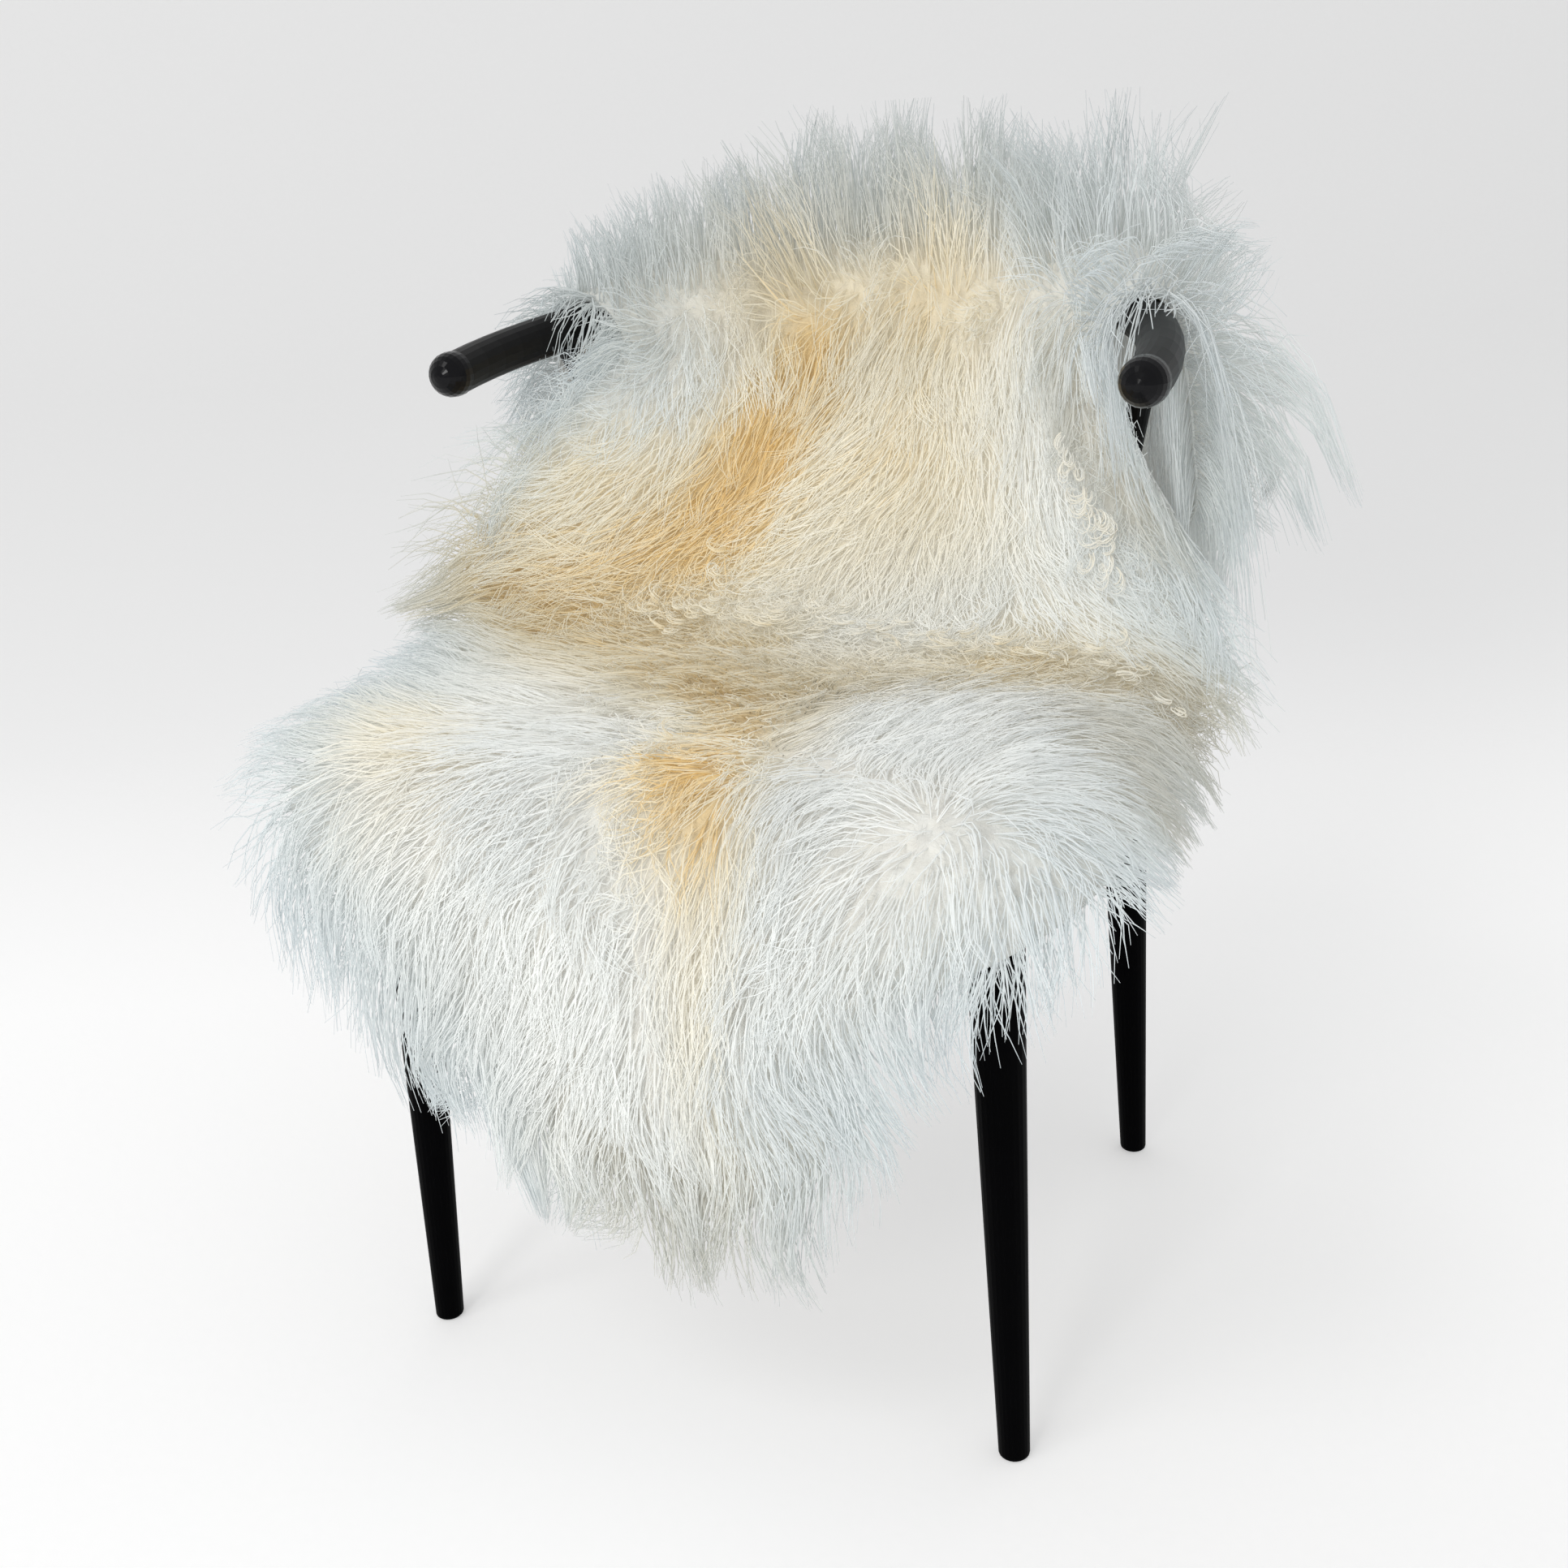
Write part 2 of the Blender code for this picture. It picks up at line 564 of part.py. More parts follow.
def main():
    for old in list(bpy.data.objects):
        bpy.data.objects.remove(old, do_unlink=True)
    add_legs()
    add_seat()
    add_rail()
    add_struts()
    under, normals, top = fleece_shape()
    add_fleece(under, top)
    add_locks(under, normals)


main()
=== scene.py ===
"""The looks of a long-haired sheepskin rug that lies over a plain black dining chair.

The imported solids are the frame. The skin's drape is worked out here as in the part, and the
hide, the under-wool and the combed wool fibres stand in for the part's plain fleece and locks.
"""

import copy
import math

import bmesh
import bpy
import numpy as np
from mathutils import Matrix, Vector, kdtree


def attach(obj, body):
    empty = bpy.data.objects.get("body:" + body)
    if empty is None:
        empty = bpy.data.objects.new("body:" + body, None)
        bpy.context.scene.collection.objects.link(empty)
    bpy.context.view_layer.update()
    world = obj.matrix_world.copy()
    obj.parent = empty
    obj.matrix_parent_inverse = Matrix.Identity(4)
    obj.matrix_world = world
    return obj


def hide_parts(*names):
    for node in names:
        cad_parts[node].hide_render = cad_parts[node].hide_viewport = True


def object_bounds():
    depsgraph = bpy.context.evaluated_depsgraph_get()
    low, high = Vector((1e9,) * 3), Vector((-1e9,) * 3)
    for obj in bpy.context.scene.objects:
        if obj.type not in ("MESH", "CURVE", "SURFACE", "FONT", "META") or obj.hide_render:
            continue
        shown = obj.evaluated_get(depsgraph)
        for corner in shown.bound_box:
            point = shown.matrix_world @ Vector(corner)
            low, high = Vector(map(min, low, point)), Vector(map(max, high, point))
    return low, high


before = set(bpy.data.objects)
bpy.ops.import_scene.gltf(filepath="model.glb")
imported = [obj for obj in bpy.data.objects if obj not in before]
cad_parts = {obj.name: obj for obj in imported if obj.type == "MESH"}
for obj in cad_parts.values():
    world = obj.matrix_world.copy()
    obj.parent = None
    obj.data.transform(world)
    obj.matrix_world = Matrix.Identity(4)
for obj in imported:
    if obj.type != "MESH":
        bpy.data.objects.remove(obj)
cad_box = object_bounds()

# ---------------------------------------------------------------- the skin, sized as in the part
CENTRING = (-0.019, -0.024)      # from the drape's own axes to the part's
RAIL_HALF_WIDTH, RAIL_DEPTH = 0.268, 0.280
RAIL_ENDS_Y = -0.005
RAIL_END_HEIGHT, RAIL_RISE = 0.707, 0.038
RAIL_RADIUS = 0.0165
SKIN_CLEARANCE = 0.0025
RIM_HEIGHT, RIM_SLOPE = 0.016, 0.070
LUMP_HEIGHT = 0.005
COLUMNS = 25
SKIN_LENGTH, SKIN_HALF_WIDTH = 1.18, 0.29        # scales for distances on the flattened skin
FOLD_LENGTH = 1.19               # the scale along the skin by which the part places its folds
MOST_BEND_BACK = 2.4             # how late a section's sides may start to bend backwards
NORMAL_ROUNDS, OWN_WEIGHT = 5, 4                 # how directions away from the skin are evened
RIM_ROUNDNESS = 0.6              # how quickly the wool rises from the rim

# Free sections: name, middle, left edge, right edge, bends, wool at the left and right, steps.
FREE_SECTIONS = [
    ("tip",        (.028, -.262, .190), (-.045, -.262, .206), (.090, -.262, .200), (2, 2), .040, .040, 1),
    ("flap low",   (.020, -.265, .222), (-.100, -.265, .248), (.124, -.265, .238), (2, 2), .048, .048, 2),
    ("flap third", (.010, -.267, .278), (-.150, -.266, .302), (.142, -.262, .288), (2, 2), .050, .050, 2),
    ("flap half",  (.005, -.267, .335), (-.195, -.268, .352), (.163, -.262, .340), (2, 2), .050, .050, 2),
    ("flap high",  (.000, -.266, .390), (-.234, -.272, .395), (.222, -.264, .386), (2, 2), .050, .050, 2),
    ("flap root",  (.000, -.263, .435), (-.254, -.275, .430), (.280, -.268, .424), (3, 3), .050, .050, 2),
    ("front edge", (.000, -.250, .466), (-.264, -.268, .460), (.308, -.262, .446), (5, 6), .048, .048, 1),
    ("seat front", (.000, -.215, .473), (-.266, -.237, .477), (.311, -.226, .450), (6, 9), .047, .047, 2),
    ("seat 2",     (.000, -.150, .473), (-.263, -.182, .486), (.306, -.150, .445), (6, 9), .046, .046, 2),
    ("seat 3",     (.000, -.080, .473), (-.260, -.110, .491), (.299, -.080, .438), (6, 9), .046, .046, 2),
    ("seat 4",     (.000, -.010, .474), (-.263, -.050, .505), (.294, -.010, .435), (6, 9), .046, .046, 2),
    ("seat rear",  (.000, .050, .479), (-.272, -.010, .535), (.292, .050, .440), (5, 7), .046, .046, 2),
    ("crease",     (.000, .105, .500), (-.278, .020, .570), (.291, .095, .464), (3.5, 5), .044, .044, 2),
    ("back low",   (.000, .150, .545), (-.272, .048, .610), (.288, .105, .522), (2.6, 3.2), .044, .044, 2),
    ("back half",  (.000, .187, .605), (-.256, .076, .645), (.276, .092, .583), (2.4, 2.6), .044, .048, 2),
    ("back high",  (.000, .222, .665), (-.228, .092, .672), (.243, .086, .640), (2.3, 2.3), .044, .052, 3),
]
# Round the rail: name, angle, room, reach to the left and right (degrees), wool, steps.
RAIL_SECTIONS = [
    ("under rail", -115, .004, -57, 57, .042, .055, 2),
    ("rail front", -65, .000, -59, 59, .040, .075, 3),
    ("rail top", 0, .000, -61, 61, .045, .105, 3),
    ("rail rear", 65, .000, -62, 62, .050, .110, 2),
    ("behind rail", 110, .003, -63, 63, .050, .100, 2),
]
# The flap behind: name, drop, distance out, reach to the left and right, wool, steps.
FLAP_SECTIONS = [
    ("flap top", .050, .027, -64, 64, .055, .090, 2),
    ("flap two", .100, .032, -62, 64, .055, .080, 2),
    ("flap three", .150, .034, -52, 60, .050, .065, 2),
    ("flap end", .187, .034, -34, 46, .045, .050, 0),
]
# Folds: name, from (along, across), to (along, across), width, height.
FOLDS = [
    ("valley of back", (.722, -.16), (.640, -.44), .045, -.016),
    ("right swell", (.720, .35), (.640, .62), .090, .012),
    ("left swell", (.690, -.72), (.640, -.85), .060, .010),
    ("middle of flap", (.080, .10), (.200, .05), .070, .008),
    ("dent of flap", (.100, -.50), (.180, -.45), .050, -.007),
]
LUMP_WAVES = [(9, 2.3, .4, .50), (-6, 4.1, 2.1, .40), (14, -3.2, 4.4, .35), (4, 6.5, 5.3, .30)]

# ---------------------------------------------------------------- how the wool is combed
# Name, place (along, across), reach of its influence, direction (along, across), lift, length.
# Along runs from the tip in front to the end of the flap behind, across from left to right.
COMBINGS = [
    ("flap end left",     .055, -.62, .08, -.60, -.85, .40, .146),
    ("flap end",          .030,  .25, .08, -1.0,  .05, .36, .076),
    ("flap end right",    .065,  .85, .07, -.50,  .90, .42, .074),
    ("flap left",         .140, -.70, .08, -.75, -.65, .36, .086),
    ("flap middle left",  .160, -.20, .08, -.85, -.50, .34, .082),
    ("flap middle",       .150,  .14, .07, -.95, -.20, .34, .082),
    ("flap middle right", .130,  .52, .07, -1.0,  .10, .34, .080),
    ("flap right",        .150,  .85, .07, -.80,  .50, .36, .068),
    ("lobe left",         .240, -.85, .08, -.35, -.95, .46, .078),
    ("lobe",              .215, -.60, .08, -.50, -.85, .42, .072),
    ("lobe inner",        .235, -.32, .07, -.45, -.90, .42, .072),
    ("front left",        .205, -.25, .07, -.70, -.70, .40, .080),
    ("front",             .225, -.04, .05, -.80, -.60, .42, .075),
    ("seat middle",       .255,  .02, .05, -.95, -.20, .45, .065),
    ("yellow spot",       .235,  .22, .05, -.95,  .15, .42, .065),
    ("front middle",      .210,  .30, .06, -1.0,  .15, .38, .075),
    ("front right",       .205,  .55, .06, -.90,  .35, .38, .070),
    ("right lobe",        .235,  .92, .06, -.75,  .60, .34, .054),
    ("seat left",         .340, -.80, .08, -.60, -.80, .50, .062),
    ("seat half",         .340, -.20, .08, -.90,  .10, .50, .055),
    ("seat right",        .380,  .50, .08,  .50,  .30, .50, .055),
    ("seat side",         .360,  .92, .06,  .10,  .95, .30, .046),
    ("crease left",       .450, -.85, .07, -.60, -.70, .62, .062),
    ("crease",            .460,  .00, .09, -1.0,  .10, .64, .050),
    ("crease right",      .450,  .50, .07, -.80,  .40, .64, .052),
    ("hip",               .500,  .94, .06, -.20,  1.0, .38, .052),
    ("wing left",         .565, -.95, .08, -.35, -.95, .60, .126),
    ("wing",              .620, -.80, .07, -.85, -.50, .38, .066),
    ("valley left",       .710, -.62, .06, -.95,  .25, .30, .048),
    ("valley",            .660, -.40, .05, -.90, -.20, .30, .042),
    ("valley right",      .650, -.05, .07, -.60, -.80, .32, .052),
    ("valley foot",       .560, -.45, .07, -.70, -.60, .40, .050),
    ("back middle",       .720,  .08, .06, -1.0,  .05, .30, .058),
    ("back right",        .700,  .45, .08, -1.0,  .02, .32, .062),
    ("back low",          .570,  .35, .09, -1.0,  .10, .38, .060),
    ("armpit right",      .690,  .80, .05, -.90, -.10, .45, .055),
    ("swell right",       .600,  .94, .07, -.10,  1.0, .48, .094),
    ("swell",             .580,  .75, .06, -.60,  .75, .40, .070),
    ("under fold left",   .765, -.75, .05, -.95,  .25, .40, .055),
    ("under fold",        .775, -.10, .05, -.90, -.10, .45, .055),
    ("under fold right",  .770,  .60, .06, -.85,  .20, .50, .065),
    ("crest left end",    .820, -.95, .06,  .10, -1.0, .75, .082),
    ("crest left",        .815, -.65, .05,  .25, -.70, .84, .092),
    ("crest middle left", .820, -.30, .05,  .60, -.35, .93, .128),
    ("crest middle",      .820,  .10, .05,  .60, -.10, .95, .138),
    ("crest right",       .825,  .50, .06,  .50,  .30, .93, .132),
    ("crest right end",   .825,  .95, .05,  .30,  .90, .66, .100),
    ("flap behind top",   .848,  .90, .05, -.60,  .40, .90, .172),
    ("flap behind right", .888,  .95, .06,  .60,  .60, .76, .128),
    ("flap behind low",   .940,  .92, .07,  .90,  .40, .60, .120),
    ("flap behind side",  .960,  .60, .08,  .90,  .50, .50, .100),
    ("flap behind left",  .900, -.80, .09,  .90, -.45, .42, .074),
    ("flap behind",       .900,  .00, .12,  1.0,  .00, .45, .085),
    ("flap behind end",   .985,  .00, .08,  1.0,  .05, .35, .080),
]
# A whorl, from which the wool runs outwards: place (along, across), reach, strength.
WHORLS = [
    ("seat corner", .246, .66, .065, 2.4),
    ("armpit", .700, .84, .030, 1.2),
]
# The upright wool on the rail: place across, height of its tips above the skin.
CREST_ALONG, CREST_REACH = 0.817, 0.034
CREST_DENSER = 1.0               # how much more wool grows there
CREST_LEANING = 0.45             # how much less it stands at the right end of the rail,
CREST_RIGHT = (0.60, 0.25)       # from this place across, over this much
CREST_FOOT = 0.05                # how far below the rail's top its tips are still lifted
CREST_HEIGHTS = [
    (-1.0, .056), (-.75, .072), (-.50, .086), (-.30, .108), (-.10, .120), (.05, .118), (.20, .102),
    (.38, .086), (.48, .070), (.58, .096), (.68, .136), (.78, .098), (1.0, .084),
]
# Where the wool's ends curl: from (along, across), to (along, across), width, strength.
CURLS = [
    ("crease", (.520, -.60), (.490, .95), .042, 1.0),
    ("valley foot", (.560, -.35), (.500, .10), .035, 1.0),
    ("seat spot", (.330, -.10), (.230, .05), .035, .7),
    ("below the right arm", (.700, .80), (.620, .78), .030, 1.0),
]
CURL_SHARES = [0.54, 0.18, 0.06, 0.22]           # of the curled locks, for each line above
# Honey stains: from (along, across), to (along, across), width, strength.
STAINS = [
    ("valley top",      (.740, -.31), (.700, -.38), .040, .72),
    ("valley",          (.700, -.38), (.600, -.48), .056, .88),
    ("valley foot",     (.600, -.48), (.535, -.78), .050, .62),
    ("back right",      (.780,  .14), (.660,  .12), .060, .36),
    ("back far right",  (.780,  .42), (.650,  .33), .055, .24),
    ("below crest",     (.785, -.50), (.790,  .25), .034, .20),
    ("left wing",       (.640, -.80), (.540, -.92), .060, .44),
    ("whole back",      (.730, -.20), (.620, -.18), .115, .42),
    ("band left",       (.500, -.88), (.410, -.10), .062, .64),
    ("band middle",     (.410, -.10), (.495,  .55), .058, .40),
    ("band right",      (.495,  .55), (.520,  1.0), .056, .34),
    ("crease curls",    (.515, -.50), (.495, -.18), .040, .46),
    ("seat middle",     (.360,  .04), (.270,  .12), .036, .66),
    ("yellow spot",     (.275,  .08), (.245,  .17), .032, .76),
    ("front streak",    (.235,  .20), (.165,  .30), .028, .24),
    ("lobe",            (.310, -.78), (.270, -.60), .045, .40),
    ("flap streak",     (.160,  .22), (.040,  .40), .030, .18),
]
# Painted shade, darker and greyer wool where shade falls in creases, under the back and the arms, and on
# parts turned from the light: from (along, across), to (along, across), width, strength.
PAINTED_SHADE_PLACES = [
    ("band left",  (.500, -.88), (.420, -.10), .075, .34),
    ("band right", (.430,  .10), (.515,  1.0), .068, .24),
    ("curls left", (.515, -.50), (.495, -.18), .040, .20),
    ("hip",        (.500,  .85), (.455,  1.0), .060, .34),
    ("lobe edge",  (.400,  .76), (.350,  .98), .044, .40),
    ("flap tip",   (.030, -.30), (.020,  .45), .040, .24),
    ("armpit",     (.750,  .78), (.680,  .90), .036, .34),
    ("left wing",  (.560, -.98), (.500, -.98), .060, .16),
    ("flap end",   (.020, -.60), (.020,  .90), .060, .20),
    ("crest",      (.805, -.90), (.805,  .60), .050, .12),
    ("top",        (.785, -.60), (.780,  .35), .036, .15),
    ("top fold",   (.790, -.47), (.780, -.28), .009, .50),
    ("flap",       (.900,  .95), (1.00,  .80), .080, .10),
]

# ---------------------------------------------------------------- sizes of the fleece's pieces
FINE_ROWS, FINE_COLUMNS = 241, 121               # the grid on which the skin's fields are kept
RIM_TINT_WIDTH = 0.12            # how far from its rim the wool is paler
BOX_MARGIN_SHARE, BOX_MARGIN = 0.026, 0.008      # how far wool may stand out of the CAD's box
LEAST_SHARE = 0.2                # of a fibre's length that is kept where it is shortened for that
RAISED = 0.4                     # how far the fibres' shared directions are turned upwards
# The hide, and the dense wool close to it.
HIDE_THICKNESS = 0.0022
HIDE_GAP = 0.0003                # between the hide and the wool on it
HIDE_POINTS, UNDER_WOOL_POINTS = (81, 41), (81, 61)      # rows and columns of their meshes
UNDER_WOOL_SHARE = 0.26          # of the wool's height
UNDER_LUMPS = (6.1, 5.3)         # how much finer its lumps are than the fleece's, along and across
UNDER_GRAINS, UNDER_GRAIN_SHARE = (12.1, 9.7), 0.6       # smaller lumps on them
UNDER_LUMP_HEIGHT, UNDER_RIM = 0.45, 0.03        # of the fleece's lumps, and where they run out
# The long fibres.
FIBRE_COUNT = 30500
RIM_INSET = 0.016                # the wool grows this far inside the skin's half width
PAST_RIM = 0.86                  # how much of its length a fibre keeps beyond the skin's rim
CLUMP_SPACING, TUFT_SPACING = 0.012, 0.034       # between small locks, and between wide tufts
SMALL_PULL, WIDE_PULL = (0.45, 0.85), (0.7, 1.0)         # how far these draw fibres together
FIBRE_SEED, CURL_SEED = 7, 11
PATH_STEPS = 12                  # steps in which a fibre's way is planned
FIBRE_POINTS = 5                 # points that are kept of it
FIBRE_SIDES = 3
ROOT_RADIUS, TIP_RADIUS = 0.00058, 0.00016
CELL_SLIMNESS = 5                # how much taller than wide a fibre's cell on the map is
FIBRES_IN_A_PIECE = 7400
# The fibres that stand out from the very edge of the skin, more of them beside the arms.
EDGE_COUNT = 2700
EDGE_WIDTH = 0.024               # as a share of the skin's half width
ARM_EDGE, ARM_EDGE_SHARE = (0.68, 0.99), 0.35    # where along the edges, and how many of them
# The fibres that curl round the edge of the flap behind.
WRAPPED_COUNT = 2700
WRAPPED_ALONG, WRAPPED_FROM = (0.835, 0.99), 0.42        # where they grow, along and across
WRAPPED_HEIGHT, WRAPPED_LENGTH, WRAPPED_LIFT = 0.024, 0.110, 0.35
WRAPPED_WAY = (1.0, 0.25)
# The small curled locks.
CURLED_LOCKS, CURLED_FIBRES = 110, 5             # locks, and fibres in each
CURLED_LENGTH, CURLED_POINTS = 0.034, 8
CURLED_STRAY, CURLED_TURN = (0.014, 0.03), 0.45  # how they stray from their line and the combing
CURLED_HEIGHT = 0.62             # of the wool's height, where they start
CURLED_ROUND = (3.2, 5.6)        # radians that they turn
CURLED_UP, CURLED_DOWN = 0.55, 0.75              # how they rise at first, and then come down
CURLED_TIGHTER, CURLED_APART = 0.35, 0.0013

UP, DOWN = np.array([0.0, 0.0, 1.0]), np.array([0.0, 0.0, -1.0])


def unit(vector):
    return vector / np.maximum(np.linalg.norm(vector, axis=-1, keepdims=True), 1e-9)


# ---------------------------------------------------------------- the drape, as in the part
def rail_point(turn):
    """A point on the middle line of the round rail."""
    x = RAIL_HALF_WIDTH * math.sin(turn)
    y = RAIL_ENDS_Y + RAIL_DEPTH * math.cos(turn)
    return np.array([x, y, RAIL_END_HEIGHT + RAIL_RISE * math.cos(turn)])


def rail_outward(turn):
    """The level way out of the rail's bend there."""
    return unit(np.array([math.sin(turn) / RAIL_HALF_WIDTH, math.cos(turn) / RAIL_DEPTH, 0.0]))


def free_section(middle, left, right, bends, across):
    """A row of points across the skin, from its middle to its two edges."""
    middle, left, right = (np.array(p) for p in (middle, left, right))
    reach = np.abs(across)
    on_left = across < 0
    side = np.where(on_left[:, None], left - middle, right - middle)
    bend = np.where(on_left, *bends)
    x = middle[0] + side[:, 0] * reach
    y = middle[1] + side[:, 1] * reach ** np.minimum(bend, MOST_BEND_BACK)
    z = middle[2] + side[:, 2] * reach ** bend
    return np.stack([x, y, z], axis=1)


def rail_section(outward, upward, left, right, across):
    """A row of points across the skin that follows the rail at a distance."""
    turns = np.radians(np.where(across < 0, -left, right) * across)
    lift = np.array([0, 0, upward])
    return np.array([rail_point(a) + rail_outward(a) * outward + lift for a in turns])


def smooth_curve(knots, values, places):
    """Natural cubic curve through the values at the knots, read at the places."""
    gaps = np.diff(knots)
    slopes = np.diff(values, axis=0) / gaps.reshape((-1,) + (1,) * (values.ndim - 1))
    count = len(knots)
    matrix = np.eye(count)
    right = np.zeros_like(values)
    for i in range(1, count - 1):
        matrix[i, i - 1:i + 2] = (gaps[i - 1], 2 * (gaps[i - 1] + gaps[i]), gaps[i])
        right[i] = 6 * (slopes[i] - slopes[i - 1])
    curved = np.linalg.solve(matrix, right.reshape(count, -1)).reshape(values.shape)
    span = np.clip(np.searchsorted(knots, places) - 1, 0, count - 2)
    shape = (-1,) + (1,) * (values.ndim - 1)
    gap = gaps[span].reshape(shape)
    a = (knots[span + 1] - places).reshape(shape) / gap
    b = 1 - a
    bow = ((a ** 3 - a) * curved[span] + (b ** 3 - b) * curved[span + 1]) * gap ** 2 / 6
    return a * values[span] + b * values[span + 1] + bow


def skin_grid():
    """The skin's underside, the wool's height there and each row's place along."""
    across = np.linspace(-1, 1, COLUMNS)
    sections = []
    for _, middle, left, right, bends, *_ in FREE_SECTIONS:
        sections.append(free_section(middle, left, right, bends, across))
    for _, angle, room, left, right, *_ in RAIL_SECTIONS:
        radius = RAIL_RADIUS + SKIN_CLEARANCE + room
        turn = math.radians(angle)
        outward, upward = radius * math.sin(turn), radius * math.cos(turn)
        sections.append(rail_section(outward, upward, left, right, across))
    for _, drop, out, left, right, *_ in FLAP_SECTIONS:
        sections.append(rail_section(out, -drop, left, right, across))
    sections = np.array(sections)
    middle = sections[:, COLUMNS // 2]
    run = np.concatenate([[0], np.cumsum(np.linalg.norm(np.diff(middle, axis=0), axis=1))])
    rows = FREE_SECTIONS + RAIL_SECTIONS + FLAP_SECTIONS
    places = [run[-1]]
    for i in range(len(rows) - 2, -1, -1):
        places += list(np.linspace(run[i + 1], run[i], rows[i][-1] + 1)[1:])
    places = np.array(places[::-1])
    left, right = (np.interp(places, run, [row[k] for row in rows])[:, None] for k in (-3, -2))
    share = np.linspace(0, 1, COLUMNS)
    return smooth_curve(run, sections, places), left + (right - left) * share, places / run[-1]


def even_normals(grid, rounds):
    """Directions away from the underside, evened out over their neighbours."""
    field = unit(np.cross(np.gradient(grid, axis=1), np.gradient(grid, axis=0)))
    for _ in range(rounds):
        wide = np.pad(field, ((1, 1), (1, 1), (0, 0)), mode="edge")
        beside = wide[:-2, 1:-1] + wide[2:, 1:-1] + wide[1:-1, :-2] + wide[1:-1, 2:]
        field = unit(beside + OWN_WEIGHT * field)
    return field


def rim_distance(grid):
    """How far each point is from the nearest edge, measured on the skin."""
    rows, columns = grid.shape[:2]
    across = np.linalg.norm(np.diff(grid, axis=1), axis=2)
    along = np.linalg.norm(np.diff(grid, axis=0), axis=2)
    from_left = np.concatenate([np.zeros((rows, 1)), np.cumsum(across, axis=1)], axis=1)
    from_tip = np.concatenate([np.zeros((1, columns)), np.cumsum(along, axis=0)], axis=0)
    sides = np.minimum(from_left, from_left[:, -1:] - from_left)
    ends = np.minimum(from_tip, from_tip[-1:] - from_tip)
    return np.minimum(sides, ends)


def flat_place(along, across, length=SKIN_LENGTH):
    """Where a place lies on the flattened skin, in metres."""
    return np.stack([along * length, across * SKIN_HALF_WIDTH], axis=-1)


def near_line(place, start, end, width):
    """1 on a line between two places of the skin, 0 well away from it."""
    a, b = flat_place(*np.array(start)), flat_place(*np.array(end))
    share = np.clip(((place - a) @ (b - a)) / max((b - a) @ (b - a), 1e-9), 0, 1)
    away = np.linalg.norm(place - a - share[..., None] * (b - a), axis=-1)
    return np.exp(-(away / width) ** 2)


def lumps(along, across):
    """How far the wool rises and falls in small lumps."""
    total = np.zeros(along.shape)
    for along_waves, across_waves, start, share in LUMP_WAVES:
        total += share * np.sin(math.pi * (along_waves * along + across_waves * across) + start)
    return LUMP_HEIGHT * total


def coarse_fleece():
    """Underside and top of the part's own fleece, with each row's place along."""
    grid, wool, rows = skin_grid()
    along, across = np.meshgrid(rows, np.linspace(-1, 1, COLUMNS), indexing="ij")
    place = flat_place(along, across, FOLD_LENGTH)
    inside = np.clip(rim_distance(grid) / RIM_SLOPE, 0, 1)
    folds = np.zeros(along.shape)
    for _, start, end, width, height in FOLDS:
        folds += height * near_line(place, start, end, width)
    grid = grid + even_normals(grid, NORMAL_ROUNDS) * (folds * inside)[..., None]
    height = RIM_HEIGHT + (wool - RIM_HEIGHT + lumps(along, across)) * inside ** RIM_ROUNDNESS
    return grid, grid + even_normals(grid, NORMAL_ROUNDS) * height[..., None], rows


# ---------------------------------------------------------------- fields on the skin
FAR_REACH, FAR_SHARE = 0.2, 1e-5                 # a combing counts a little even far away
RIM_BAND, RIM_BEND, RIM_PULL = 0.045, 1.5, 1.3   # where and how much the rim's wool turns outwards
SIDE_BAND, END_BAND = (0.6, 0.3), (0.44, 0.03)   # from how far off the middle, over how much
WHORL_LIFT, WHORL_EYE = 0.35, 0.004              # how much a whorl lifts its wool, and its middle
HONEY_LOSS = 0.35                                # how much paler the stains are in the upright wool


def rim_tint(distance):
    """1 at the skin's rim, 0 well inside it."""
    return np.clip(1 - distance / RIM_TINT_WIDTH, 0, 1)


